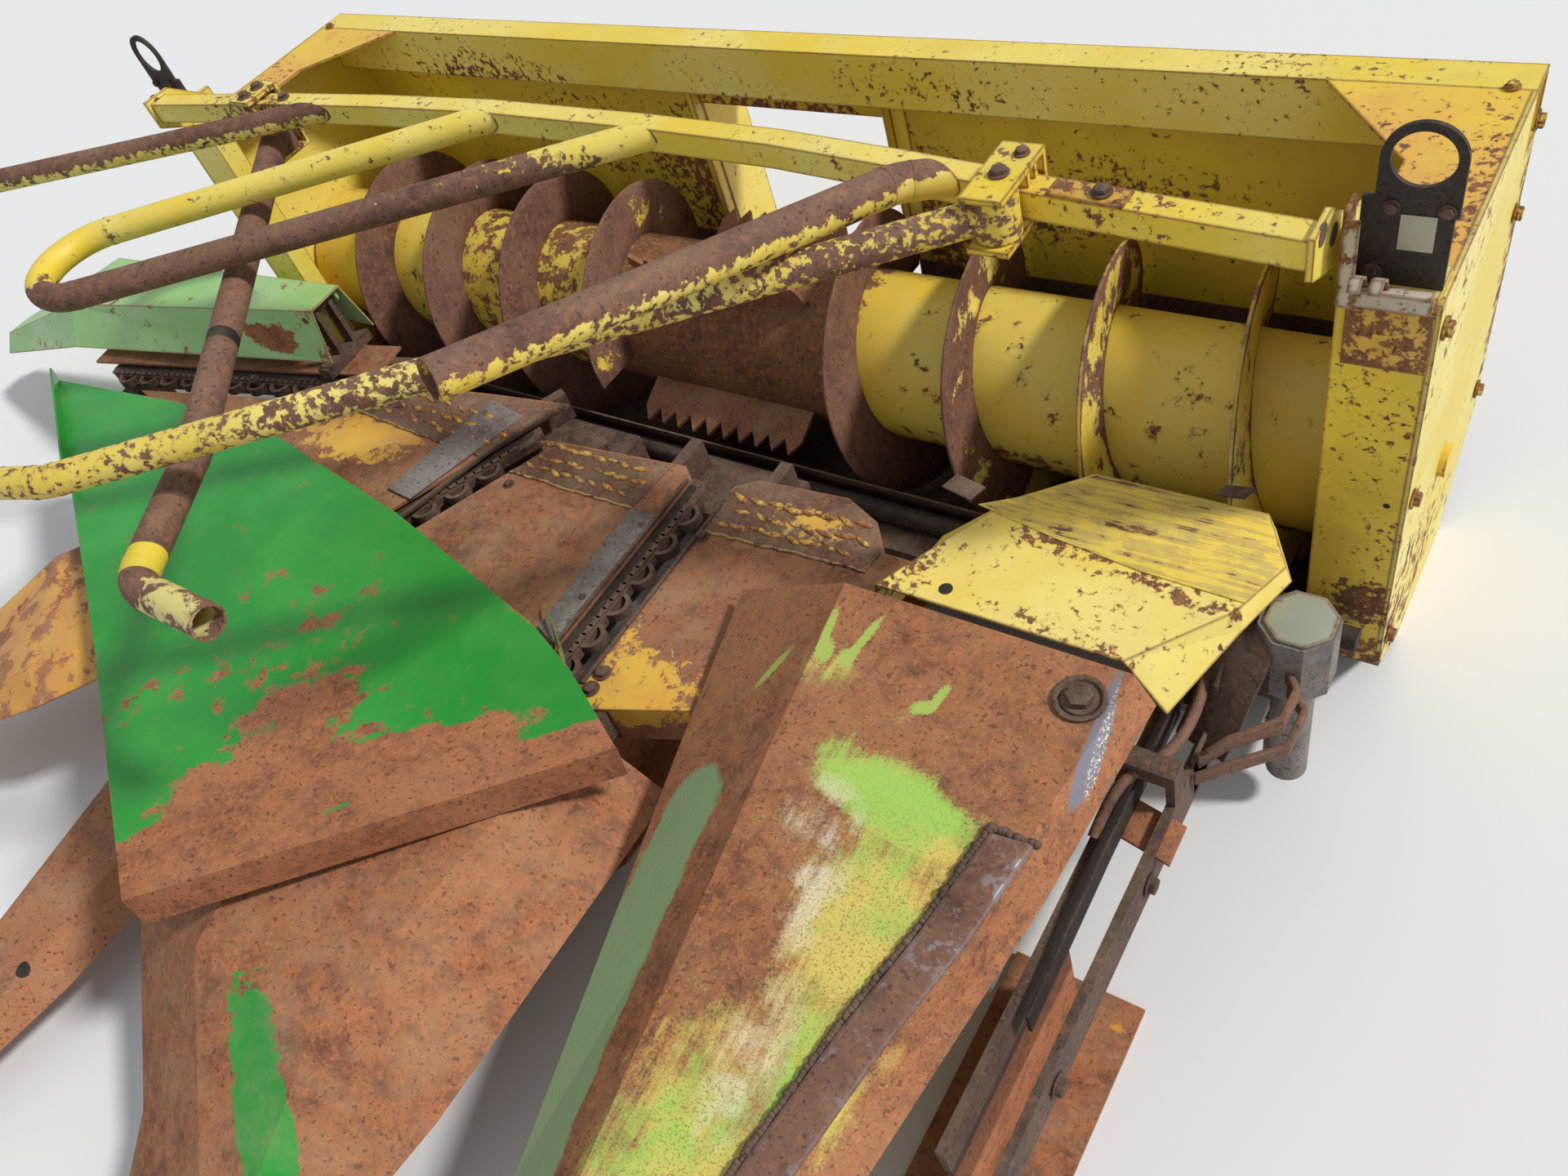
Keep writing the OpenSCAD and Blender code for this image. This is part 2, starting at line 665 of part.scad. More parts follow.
guide_z = push_z + 3;
module push_hoop() color(yellow) translate(mid) off_bar()
    tube_on_bar(-215, guide_z, 217, 0, tube_r, [[715, 179, 95], [1010, 0]]);

module push_tubes() color(yellow) translate(mid) off_bar() {
    tube_on_bar(-620, guide_z, 207, 0, tube_r - 2, [[860, 200]]);
    tube_on_bar(650, guide_z + 6, 224, 14, tube_r + 2, [[60, 27, 80], [625, 200]]);
}

// Each guide arm swings on an upright pin in a saddle on the bar, the left one under the bar
// and the right one in front of it: [x, y, z] of each pin at the arm's middle
arm_pins = [[-817, bar_at(-817), 797], [735, -28, 861]];
saddle_w = 56;
saddle_t = 8;
pin_r = 8;
bush_r = 29;
bush_h = 60;
module saddle(pin) {
    w = saddle_w / 2;
    bar_y0 = bar_at(pin[0]);
    y0 = min(bar_y0 - half_s, pin[1] - bush_r) - 6;
    y1 = max(bar_y0 + half_s + 4, pin[1] + bush_r + 4);
    z0 = pin[2] - bush_h / 2 - 1.5;
    z1 = max(push_z + half_s + 5, pin[2] + bush_h / 2 + 1.5);
    pin_top = pin[2] > push_z ? z1 + 1 : push_z - half_s;
    translate([pin[0], 0, 0]) {
        side_plate([
            [y0, z0 - saddle_t], [y1 + saddle_t, z0 - saddle_t], [y1 + saddle_t, z1 + saddle_t],
            [y0, z1 + saddle_t], [y0, z1], [y1, z1], [y1, z0], [y0, z0]
        ], -w, w);
        for (y = [bar_y0 - 14, bar_y0 + 6])
            box([4 - w, y, push_z + half_s], [w - 4, y + 8, z1 + 1]);
        translate([0, pin[1], z0 - 1]) cylinder(r = pin_r, h = pin_top - z0 + 1);
    }
}
module arm_brackets() color(yellow) translate(mid) for (pin = arm_pins) saddle(pin);

module arm(pin, heading, climb, r, steps) {
    difference() {
        union() {
            translate(pin - [0, 0, bush_h / 2]) cylinder(r = bush_r, h = bush_h);
            translate(pin) rotate([0, -climb, heading]) translate([-5, 0, 0])
                bent(steps, r, tube_t);
        }
        translate(pin - [0, 0, bush_h]) cylinder(r = pin_r + fit, h = 2 * bush_h);
    }
}
module arm_left() color(rust) translate(mid)
    arm(arm_pins[0], 312, 0, tube_r + 1, [[930, -9, 200], [200, 57, 60], [130, 120]]);
module arm_right() color(yellow) translate(mid)
    arm(arm_pins[1], 220, 1, tube_r - 1, [[1240, -20, 90], [200, 120]]);

// Snouts that hinge at their rear upper edge
module snout_ear(x, y, z, top) {
    translate([x, y, z]) rotate([0, 90, 0]) cylinder(r = 18, h = ear_t);
    box([x, y - 18, z], [x + ear_t, y + 12, top]);
}
module pin_bore(x0, x1, y, z) translate([x0, y, z]) rotate([0, 90, 0])
    cylinder(r = snout_pin_r + fit, h = x1 - x0);

module snout_right() color(rust) translate(mid) difference() {
    union() {
        folded([
            [snout_y, [[730, 50], [750, 90], [790, 92], [810, 50]]],
            [-1170, [[566, 262], [700, 362], [875, 357], [935, 292]]],
            [-600, [[432, 312], [628, 428], [985, 431], [1010, 345]]],
            [-325, [[372, 332], [588, 440], [1008, 438], [1035, 385]]]
        ], skin);
        for (x = ear_x) snout_ear(x, snout_pin[0], snout_pin[1], 436);
    }
    pin_bore(ear_x[0] - 1, ear_x[1] + ear_t + 1, snout_pin[0], snout_pin[1]);
}

module snout_left() color(pale_green) translate(mid) at_left() difference() {
    union() {
        folded([
            [-left_len, [[-left_tip, 150], [-200, 190], [-140, 192], [-100, 150]]],
            [-880, [[-300, 305], [-255, 408], [-80, 402], [-20, 316]]],
            [0, [[-215, 330], [-190, 455], [-100, 457], [-72, 340]]]
        ], skin);
        for (x = left_ear_x) snout_ear(x, -30, 432, 451);
    }
    pin_bore(left_ear_x[0] - 1, left_ear_x[1] + ear_t + 1, -30, 432);
}

end_sheet_left();
end_sheet_right();
front_post_left();
front_post_right();
top_beam();
corner_gussets();
back_sheet();
trough();
throat_frame();
toolbar();
deck_outer();
deck_left();
deck_middle();
deck_right();
chain_left();
chain_middle();
chain_right();
chain_guides();
unit_frame_left();
unit_frame_middle();
unit_frame_right();
skids();
loose_hood();
snout_middle();
snout_inner();
divider_left();
end_cover();
side_gearbox();
side_frame();
left_bearer();
drive_shaft();
lift_eyes();
hinge_brackets();
auger_drum();
auger_flights();
feed_paddles();
push_bar();
push_hoop();
push_tubes();
arm_brackets();
arm_left();
arm_right();
snout_right();
snout_left();
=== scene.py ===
# %% [markdown]
# # A forage harvester's row-crop header
# The imported model gives every steel part at its true place, so this lesson dresses it: paint that
# flakes, rust, bolts, weld beads and the small brackets. The frame is loaded first. What is added
# may stand past it by no more than a bolt's head.

# %% Load the header
import math
import random

import bmesh
import bpy
from mathutils import Matrix, Vector


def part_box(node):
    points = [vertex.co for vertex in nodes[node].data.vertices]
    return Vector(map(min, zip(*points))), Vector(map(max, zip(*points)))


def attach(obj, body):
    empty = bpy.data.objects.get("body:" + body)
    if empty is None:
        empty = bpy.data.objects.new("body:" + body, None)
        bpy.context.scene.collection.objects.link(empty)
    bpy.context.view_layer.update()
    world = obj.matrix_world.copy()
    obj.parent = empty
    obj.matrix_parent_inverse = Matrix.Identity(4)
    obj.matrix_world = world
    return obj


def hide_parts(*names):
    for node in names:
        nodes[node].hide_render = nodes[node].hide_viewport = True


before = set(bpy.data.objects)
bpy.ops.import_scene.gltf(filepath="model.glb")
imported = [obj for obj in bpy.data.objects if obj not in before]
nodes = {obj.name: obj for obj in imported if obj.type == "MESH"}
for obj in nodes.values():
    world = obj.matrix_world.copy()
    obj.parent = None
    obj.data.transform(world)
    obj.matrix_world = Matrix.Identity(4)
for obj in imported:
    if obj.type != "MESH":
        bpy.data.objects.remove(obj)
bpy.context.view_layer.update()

# %% [markdown]
# The sizes in this lesson are measured from the push bar's middle, as a mechanic would measure the
# header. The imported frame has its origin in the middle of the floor, so `at` shifts a place over.
# The throat frame's middle and its rear face, 665 mm behind the bar, give the shift.

# %% Places on the header
throat_low, throat_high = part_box("throat_frame")
BAR_TO_REAR_FACE = 0.665
SHIFT_X = (throat_low.x + throat_high.x) / 2
SHIFT_Y = throat_high.y - BAR_TO_REAR_FACE


def at(x, y, z):
    """A place given in millimetres from the push bar's middle, as a vector in metres."""
    return Vector((x / 1000 + SHIFT_X, y / 1000 + SHIFT_Y, z / 1000))


print("shift", round(SHIFT_X, 4), round(SHIFT_Y, 4))

# %% [markdown]
# ## Camera and light
# The photograph looks down on the right-hand end from about head height. The camera stands at the
# place worked out from the header's straight edges, and its turn is written as three axes. One
# lamp with soft-edged shadows stands where the sun stood, and a pale world fills the shade.

# %% Camera
scene = bpy.context.scene
scene.view_settings.view_transform = "Standard"
CAMERA_AT = at(1391.3, -1143.3, 1707.6)
CAMERA_RIGHT = Vector((0.817391, 0.518714, -0.250615))
CAMERA_UP = Vector((-0.267281, 0.726848, 0.632656))
CAMERA_BACK = Vector((0.510326, -0.450143, 0.732761))
FOCAL_PIXELS = 1490.4
IMAGE_WIDTH = 1920
SENSOR = 36

camera_data = bpy.data.cameras.new("camera")
camera_data.sensor_fit = "HORIZONTAL"
camera_data.sensor_width = SENSOR
camera_data.lens = SENSOR * FOCAL_PIXELS / IMAGE_WIDTH
camera = bpy.data.objects.new("camera", camera_data)
turn = Matrix((CAMERA_RIGHT, CAMERA_UP, CAMERA_BACK)).transposed()
camera.matrix_world = Matrix.Translation(CAMERA_AT) @ turn.to_4x4()
scene.collection.objects.link(camera)
scene.camera = camera
print("lens", round(camera_data.lens, 2), "mm")

# %% Lamp and world
SUN_FROM = Vector((0.655, 0.300, 0.693))
SUN_STRENGTH = 2.6
SUN_ANGLE = math.radians(7)
SKY = (0.80, 0.84, 0.90, 1)
SKY_STRENGTH = 0.55

sun_data = bpy.data.lights.new("key_lamp", "SUN")
sun_data.energy = SUN_STRENGTH
sun_data.angle = SUN_ANGLE
sun = bpy.data.objects.new("key_lamp", sun_data)
sun.rotation_euler = SUN_FROM.to_track_quat("Z", "Y").to_euler()
scene.collection.objects.link(sun)

world = bpy.data.worlds.new("studio")
scene.world = world
world.use_nodes = True
sky = world.node_tree.nodes["Background"]
sky.inputs["Color"].default_value = SKY
sky.inputs["Strength"].default_value = SKY_STRENGTH
print("lamp", SUN_STRENGTH, "sky", SKY_STRENGTH)

# %% [markdown]
# **The studio floor** is a plain sheet a millimetre under the skids, so that it never flickers
# with them. An operator works on all that is selected, so `fresh` clears the selection before it
# adds a primitive, and every piece below starts with it.

# %% The floor
FLOOR_SIZE = 14
FLOOR_DROP = 0.001


def fresh(add, **settings):
    """A new primitive, made by that operator, alone in the selection."""
    bpy.ops.object.select_all(action="DESELECT")
    add(**settings)
    return bpy.context.object


floor = fresh(bpy.ops.mesh.primitive_plane_add, size=FLOOR_SIZE, location=(0, 0, -FLOOR_DROP))
floor.name = "studio_floor"
floor_paint = bpy.data.materials.new("floor paint")
floor_paint.use_nodes = True
floor_shader = floor_paint.node_tree.nodes["Principled BSDF"]
floor_shader.inputs["Base Color"].default_value = (0.80, 0.79, 0.77, 1)
floor_shader.inputs["Roughness"].default_value = 0.9
floor.data.materials.append(floor_paint)
print("floor", FLOOR_SIZE, "m")

# %% [markdown]
# ## Finishes
# Almost every surface is the same story told with other colours: paint on steel, rust that creeps
# in from the edges and the scratches, and dust on what faces up. So the story is built once, as
# node groups with named inputs, and each material gives it other values. Colours are picked from a
# screen, so `srgb` turns them into the linear ones that a shader wants.

# %% Colours


def srgb(r, g, b):
    """A colour picked in the range 0 to 255, as the linear colour a shader wants."""
    def linear(c):
        c /= 255
        return c / 12.92 if c <= 0.04045 else ((c + 0.055) / 1.055) ** 2.4
    return (linear(r), linear(g), linear(b), 1)


print("rust", [round(c, 3) for c in srgb(156, 98, 64)])

# %% [markdown]
# A shader is a tree of nodes. Written out, every node takes four lines, so `node` adds one with its
# options and sockets at once, and the short helpers after it read like the arithmetic they do.

# %% Helpers for nodes


def node(tree, kind, values=(), **settings):
    """Adds a node, sets its options by name and its sockets from (socket, value or link)."""
    made = tree.nodes.new(kind)
    for key, value in settings.items():
        setattr(made, key, value)
    for key, value in values:
        if isinstance(value, bpy.types.NodeSocket):
            tree.links.new(value, made.inputs[key])
        else:
            made.inputs[key].default_value = value
    return made


def noise(tree, where, scale, detail=4, rough=0.6, twist=0.0):
    """The value of a noise texture at that scale."""
    values = (("Vector", where), ("Scale", scale), ("Detail", detail), ("Roughness", rough),
              ("Distortion", twist))
    return node(tree, "ShaderNodeTexNoise", values).outputs["Fac"]


def maths(tree, how, *values):
    """One step of arithmetic on two or three values."""
    return node(tree, "ShaderNodeMath", enumerate(values), operation=how).outputs[0]


def times(tree, a, b, plus=None):
    """a times b, with a third value on top where one is given."""
    if plus is None:
        return maths(tree, "MULTIPLY", a, b)
    return maths(tree, "MULTIPLY_ADD", a, b, plus)


def ramp(tree, value, low, high):
    """0 below low, 1 above high, and smooth between them."""
    values = (("Value", value), ("From Min", low), ("From Max", high))
    made = node(tree, "ShaderNodeMapRange", values, interpolation_type="SMOOTHSTEP")
    return made.outputs["Result"]


def blend(tree, share, a, b):
    """A mix of two colours, with that share of the second."""
    return node(tree, "ShaderNodeMix", ((0, share), (6, a), (7, b)), data_type="RGBA").outputs[2]

# %% [markdown]
# An effect that several materials share is a node group with named sockets, like a function.

# %% Helper for node groups
COLOR = "NodeSocketColor"
FLOAT = "NodeSocketFloat"
VECTOR = "NodeSocketVector"
GREY = (0.5, 0.5, 0.5, 1)


def new_group(name, inputs, outputs):
    """An empty shader group with named sockets: (name, type, value)."""
    tree = bpy.data.node_groups.new(name, "ShaderNodeTree")
    for label, kind, value in inputs:
        socket = tree.interface.new_socket(label, in_out="INPUT", socket_type=kind)
        socket.default_value = value
    for label, kind in outputs:
        tree.interface.new_socket(label, in_out="OUTPUT", socket_type=kind)
    source = tree.nodes.new("NodeGroupInput").outputs
    sink = tree.nodes.new("NodeGroupOutput").inputs
    print("group", name)
    return tree, source, sink

# %% [markdown]
# **Rust.** On the real decks rust is never one brown: it has dark old scale, a middle tone, orange
# bloom and grey-tan dust rubbed in. Noises from 200 mm down to 5 mm mix four colours, and the
# finest one also gives the pitted feel of the surface.

# %% The rust group
rust_tree, source, sink = new_group(
    "layered rust",
    [("Vector", VECTOR, (0, 0, 0)), ("Dark", COLOR, GREY), ("Middle", COLOR, GREY),
     ("Bloom", COLOR, GREY), ("Dust", COLOR, GREY), ("Dustiness", FLOAT, 0.3)],
    [("Color", COLOR), ("Roughness", FLOAT), ("Height", FLOAT)])
broad = noise(rust_tree, source["Vector"], 4.5, 5, 0.6)
middle = noise(rust_tree, source["Vector"], 32, 5, 0.65)
fine = noise(rust_tree, source["Vector"], 210, 3, 0.6)
speck = noise(rust_tree, source["Vector"], 95, 2, 0.5)
mixed = times(rust_tree, middle, 0.6, times(rust_tree, broad, 0.4))
base = blend(rust_tree, ramp(rust_tree, mixed, 0.30, 0.58), source["Dark"], source["Middle"])
bloom = times(rust_tree, ramp(rust_tree, speck, 0.52, 0.66), 0.55)
base = blend(rust_tree, bloom, base, source["Bloom"])
pits = ramp(rust_tree, fine, 0.58, 0.66)
base = blend(rust_tree, times(rust_tree, pits, 0.75), base, source["Dark"])
film = times(rust_tree, ramp(rust_tree, broad, 0.3, 0.75), source["Dustiness"])
base = blend(rust_tree, film, base, source["Dust"])
pepper = ramp(rust_tree, noise(rust_tree, source["Vector"], 125, 1, 0.5), 0.645, 0.69)
base = blend(rust_tree, times(rust_tree, pepper, 0.8), base, source["Dark"])
rust_tree.links.new(base, sink["Color"])
rust_tree.links.new(times(rust_tree, middle, 0.2, 0.68), sink["Roughness"])
rust_tree.links.new(times(rust_tree, fine, 0.6, times(rust_tree, middle, 0.6)), sink["Height"])

# %% [markdown]
# **Flaking paint.** The paint stays where a mask is low and is gone where it is high. The mask is
# a sum: broad patches, mid-sized chips, fine specks, the sheet's own edges, and a push that the
# material gives for places that have worn more. A wear of 0.4 leaves a few chips, and 0.95 takes
# all that the push doesn't save. Paint has a thickness, so the mask also steps the height down,
# which shows as the raised rim round each chip.

# %% The paint group
paint_tree, source, sink = new_group(
    "flaking paint",
    [("Vector", VECTOR, (0, 0, 0)), ("Paint", COLOR, GREY), ("Faded", COLOR, GREY),
     ("Rust Color", COLOR, GREY), ("Rust Height", FLOAT, 0.5), ("Wear", FLOAT, 0.5),
     ("Push", FLOAT, 0.0), ("Edge Wear", FLOAT, 0.3), ("Chip Scale", FLOAT, 24),
     ("Gloss", FLOAT, 0.4)],
    [("Color", COLOR), ("Roughness", FLOAT), ("Height", FLOAT)])
broad = noise(paint_tree, source["Vector"], 3.2, 4, 0.6, 0.4)
chips = noise(paint_tree, source["Vector"], source["Chip Scale"], 6, 0.62, 0.25)
specks = noise(paint_tree, source["Vector"], 150, 2, 0.6)
bevel = node(paint_tree, "ShaderNodeBevel", (("Radius", 0.006),), samples=4)
geometry = node(paint_tree, "ShaderNodeNewGeometry")
facing = node(paint_tree, "ShaderNodeVectorMath",
              ((0, bevel.outputs[0]), (1, geometry.outputs["True Normal"])), operation="DOT_PRODUCT")
edge = ramp(paint_tree, maths(paint_tree, "SUBTRACT", 1.0, facing.outputs["Value"]), 0.005, 0.12)
total = times(paint_tree, broad, 0.3, times(paint_tree, chips, 0.7))
total = times(paint_tree, specks, 0.16, total)
total = times(paint_tree, edge, source["Edge Wear"], total)
total = maths(paint_tree, "ADD", total, source["Push"])
limit = maths(paint_tree, "SUBTRACT", 1.08, times(paint_tree, source["Wear"], 0.9))
gap = maths(paint_tree, "SUBTRACT", total, limit)
bare = ramp(paint_tree, gap, -0.012, 0.012)
halo = times(paint_tree, ramp(paint_tree, gap, -0.055, 0.0), 0.4)
tone = blend(paint_tree, ramp(paint_tree, broad, 0.35, 0.68), source["Paint"], source["Faded"])
tone = blend(paint_tree, halo, tone, source["Rust Color"])
paint_tree.links.new(blend(paint_tree, bare, tone, source["Rust Color"]), sink["Color"])
dull = times(paint_tree, chips, 0.15, source["Gloss"])
rough = node(paint_tree, "ShaderNodeMix", ((0, bare), (2, dull), (3, 0.85))).outputs[0]
paint_tree.links.new(rough, sink["Roughness"])
film = times(paint_tree, maths(paint_tree, "SUBTRACT", 1.0, bare), 0.8)
steel = times(paint_tree, source["Rust Height"], bare)
paint_tree.links.new(maths(paint_tree, "ADD", film, steel), sink["Height"])

# %% [markdown]
# **Dust.** What faces up holds pale chaff. The group reads the surface's normal, keeps
# what points upwards, and breaks it up with noise.

# %% The dust group
dust_tree, source, sink = new_group(
    "chaff dust",
    [("Vector", VECTOR, (0, 0, 0)), ("Color", COLOR, GREY), ("Roughness", FLOAT, 0.6),
     ("Dust", COLOR, srgb(176, 158, 122)), ("Amount", FLOAT, 0.2)],
    [("Color", COLOR), ("Roughness", FLOAT)])
geometry = node(dust_tree, "ShaderNodeNewGeometry")
upward = node(dust_tree, "ShaderNodeSeparateXYZ", (("Vector", geometry.outputs["Normal"]),))
lying = ramp(dust_tree, upward.outputs["Z"], 0.3, 0.95)
loose = ramp(dust_tree, noise(dust_tree, source["Vector"], 14, 6, 0.7), 0.35, 0.75)
cover = times(dust_tree, times(dust_tree, lying, loose), source["Amount"])
dust_tree.links.new(blend(dust_tree, cover, source["Color"], source["Dust"]), sink["Color"])
dust_tree.links.new(maths(dust_tree, "MAXIMUM", source["Roughness"], cover), sink["Roughness"])

# %% [markdown]
# Nine sets of colours cover all the rust on the header. Each is its dark scale, middle tone, bloom
# and dust, and how dusty the steel is. The old set is darker than old scale alone: partly painted
# shade, for the trough and the parts beyond the decks. Every material starts alike: a shader,
# coordinates that stay with the header, and a bump.

# %% Rust colours and the start of a material
RUSTS = {
    "deck": (srgb(100, 60, 44), srgb(156, 98, 64), srgb(176, 106, 60), srgb(170, 134, 102), 0.22),
    "snout": (srgb(104, 60, 42), srgb(168, 104, 66), srgb(190, 114, 62), srgb(178, 138, 102), 0.22),
    "tube": (srgb(74, 50, 42), srgb(120, 82, 64), srgb(152, 98, 62), srgb(150, 124, 102), 0.25),
    "flight": (srgb(76, 48, 40), srgb(122, 80, 62), srgb(150, 96, 62), srgb(140, 116, 96), 0.25),
    # old: dark tones that are partly real old scale and partly painted shade, for the trough and the
    # parts beyond the decks
    "old": (srgb(48, 36, 32), srgb(92, 66, 54), srgb(128, 84, 58), srgb(120, 102, 84), 0.3),
    "oily": (srgb(26, 23, 21), srgb(52, 42, 36), srgb(84, 60, 46), srgb(86, 74, 62), 0.25),
    "worn": (srgb(96, 84, 78), srgb(150, 142, 138), srgb(150, 112, 84), srgb(176, 168, 158), 0.4),
    "chip": (srgb(74, 44, 30), srgb(128, 78, 46), srgb(180, 108, 48), srgb(156, 122, 76), 0.25),
    "grey": (srgb(86, 80, 76), srgb(138, 132, 126), srgb(140, 108, 84), srgb(168, 162, 152), 0.3),
}


def start(name, bump):
    """A material with its shader, object coordinates and bump: (material, tree, shader,
    where, lift)."""
    material = bpy.data.materials.new(name)
    material.use_nodes = True
    tree = material.node_tree
    shader = tree.nodes["Principled BSDF"]
    where = node(tree, "ShaderNodeTexCoord").outputs["Object"]
    lift = node(tree, "ShaderNodeBump", (("Strength", bump), ("Distance", 0.0015)))
    tree.links.new(lift.outputs[0], shader.inputs["Normal"])
    print("finish", name)
    return material, tree, shader, where, lift


def rust_in(tree, where, kind):
    """The rust group with one of the sets of colours."""
    made = node(tree, "ShaderNodeGroup", node_tree=rust_tree)
    tree.links.new(where, made.inputs["Vector"])
    for key, value in zip(("Dark", "Middle", "Bloom", "Dust", "Dustiness"), RUSTS[kind]):
        made.inputs[key].default_value = value
    return made


print("rusts", len(RUSTS))

# %% [markdown]
# `blot` is how a material says *here*: a soft ball of influence round a place on the header, which
# is added to the push of the paint group. Positive blots wear paint off, negative ones save it.
# `ragged` gives such a ball a broken rim, and `marked` paints a hard-edged spot, such as a dark spot of
# painted shade where a hole is.

# %% Places on a material


def ball(tree, where, centre, reach, turn=0.0):
    """A soft ball of influence: 1 at the centre and 0 beyond the reach (mm)."""
    place = at(*centre)
    size = Vector([r / 1000 for r in reach])
    moved = node(tree, "ShaderNodeMapping",
                 (("Vector", where), ("Location", place), ("Rotation", (0, 0, math.radians(turn))),
                  ("Scale", size)), vector_type="TEXTURE")
    return node(tree, "ShaderNodeTexGradient", (("Vector", moved.outputs[0]),),
                gradient_type="SPHERICAL").outputs["Fac"]


def blot(tree, where, centre, reach, strength, turn=0.0):
    """A blot is a ball with a fuller middle, times its strength."""
    soft = ball(tree, where, centre, reach, turn)
    return times(tree, maths(tree, "POWER", soft, 0.6), strength)


def add_up(tree, parts):
    """The sum of several values."""
    total = parts[0]
    for part in parts[1:]:
        total = maths(tree, "ADD", total, part)
    return total


def spread(tree, where, kind, places):
    """The sum of several balls or blots, one for each place."""
    return add_up(tree, [kind(tree, where, *place) for place in places])


def ragged(tree, shape, rough, amount, low, high):
    """A mask from a soft shape, its rim broken by a noise."""
    return ramp(tree, times(tree, maths(tree, "SUBTRACT", rough, 0.5), amount, shape), low, high)


def marked(tree, where, color, marks):
    """Paints hard-edged spots, such as paint rings, and dark spots of painted shade that stand for
    holes: each is (centre, reach, colour, turn).
    """
    for centre, reach, paint, turn in marks:
        spot = ramp(tree, ball(tree, where, centre, reach, turn), 0.03, 0.12)
        color = blend(tree, spot, color, paint)
    return color

# %% [markdown]
# With these, a finish is one line. `rusty` is bare steel and `painted` is paint over rust, and both
# end with the dust that lies on top.

# %% Bare steel and painted steel


def dusted(tree, shader, where, color, rough, amount):
    """Puts the dust over a finished colour and links both to the shader."""
    made = node(tree, "ShaderNodeGroup", node_tree=dust_tree)
    for key, value in (("Vector", where), ("Color", color), ("Roughness", rough)):
        tree.links.new(value, made.inputs[key])
    made.inputs["Amount"].default_value = amount
    tree.links.new(made.outputs["Color"], shader.inputs["Base Color"])
    tree.links.new(made.outputs["Roughness"], shader.inputs["Roughness"])


def rusty(name, kind="deck", bump=0.6, dust=0.2, metallic=0.0, marks=()):
    """Bare rusted steel."""
    material, tree, shader, where, lift = start(name, bump)
    rust = rust_in(tree, where, kind)
    tree.links.new(rust.outputs["Height"], lift.inputs["Height"])
    color = marked(tree, where, rust.outputs["Color"], marks)
    dusted(tree, shader, where, color, rust.outputs["Roughness"], dust)
    shader.inputs["Metallic"].default_value = metallic
    return material


def upwards(tree):
    """1 where the surface faces the sky, 0 where it does not."""
    normal = node(tree, "ShaderNodeNewGeometry").outputs["Normal"]
    split = node(tree, "ShaderNodeSeparateXYZ", (("Vector", normal),))
    return ramp(tree, split.outputs["Z"], -0.1, 0.9)


def painted(name, paint, faded, kind="chip", wear=0.5, edge=0.3, scale=24, gloss=0.4,
            dust=0.15, tops=0.0, blots=(), marks=()):
    """Paint that flakes to rust. Each blot is (centre, reach, strength, turn)."""
    material, tree, shader, where, lift = start(name, 0.5)
    rust = rust_in(tree, where, kind)
    made = node(tree, "ShaderNodeGroup", node_tree=paint_tree)
    tree.links.new(where, made.inputs["Vector"])
    tree.links.new(rust.outputs["Color"], made.inputs["Rust Color"])
    tree.links.new(rust.outputs["Height"], made.inputs["Rust Height"])
    for key, value in (("Paint", paint), ("Faded", faded), ("Wear", wear), ("Edge Wear", edge),
                       ("Chip Scale", scale), ("Gloss", gloss)):
        made.inputs[key].default_value = value
    parts = [blot(tree, where, *b) for b in blots]
    if tops:
        parts.append(times(tree, upwards(tree), tops))
    if parts:
        tree.links.new(add_up(tree, parts), made.inputs["Push"])
    tree.links.new(made.outputs["Height"], lift.inputs["Height"])
    color = marked(tree, where, made.outputs["Color"], marks)
    dusted(tree, shader, where, color, made.outputs["Roughness"], dust)
    return material

# %% The paints
YELLOW = srgb(236, 204, 62)
YELLOW_FADED = srgb(242, 222, 122)
GREEN = srgb(28, 142, 44)
GREEN_FADED = srgb(44, 160, 58)
PALE_GREEN = srgb(150, 200, 120)
PALE_GREEN_FADED = srgb(172, 212, 150)
print("yellow", [round(c, 2) for c in YELLOW], "green", [round(c, 2) for c in GREEN])

# %% [markdown]
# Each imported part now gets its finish. Parts of one kind share a material where the real ones do,
# and the big sheets have one of their own, because their wear has a shape.

# %% Yellow finishes
frame_yellow = painted("frame yellow", YELLOW, YELLOW_FADED, wear=0.41, edge=0.3, scale=80)
beam_yellow = painted("beam yellow", YELLOW, YELLOW_FADED, wear=0.41, edge=0.42, scale=85, blots=[
    ((300, 480, 700), (200, 80, 60), 0.10, 0), ((-700, 480, 660), (260, 60, 60), 0.12, 0),
    ((1000, 500, 750), (200, 160, 40), 0.07, 0)])
gusset_yellow = painted("gusset yellow", YELLOW, srgb(230, 172, 74), wear=0.43, edge=0.42, scale=85,
                        blots=[((1196, 320, 750), (40, 220, 40), 0.07, 0)])
push_yellow = painted("push bar yellow", YELLOW, YELLOW_FADED, wear=0.42, edge=0.34, scale=80, blots=[
    ((860, 14, 862), (170, 60, 40), 0.12, 0), ((-820, 20, 860), (140, 60, 40), 0.14, 0)])
bracket_yellow = painted("bracket yellow", YELLOW, YELLOW_FADED, wear=0.50, edge=0.5, scale=60)
sheet_yellow = painted("back sheet yellow", srgb(214, 182, 56), YELLOW, wear=0.41, edge=0.2, scale=60,
                       blots=[((620, 540, 470), (260, 60, 120), 0.09, 0),
                              ((0, 540, 420), (420, 60, 260), 0.30, 0),
                              ((-500, 540, 520), (300, 60, 120), 0.08, 0)])
end_yellow = painted("end sheet yellow", srgb(222, 200, 84), srgb(234, 216, 128), wear=0.42, scale=45,
                     edge=0.25, blots=[((1220, 545, 500), (30, 60, 400), 0.2, 0),
                                       ((1220, 200, 150), (30, 260, 160), 0.12, 0)],
                     # The dark mark is a hole in the end sheet, painted as shade.
                     marks=[((1220, 130, 250), (8, 6, 40), srgb(30, 22, 18), 0)])
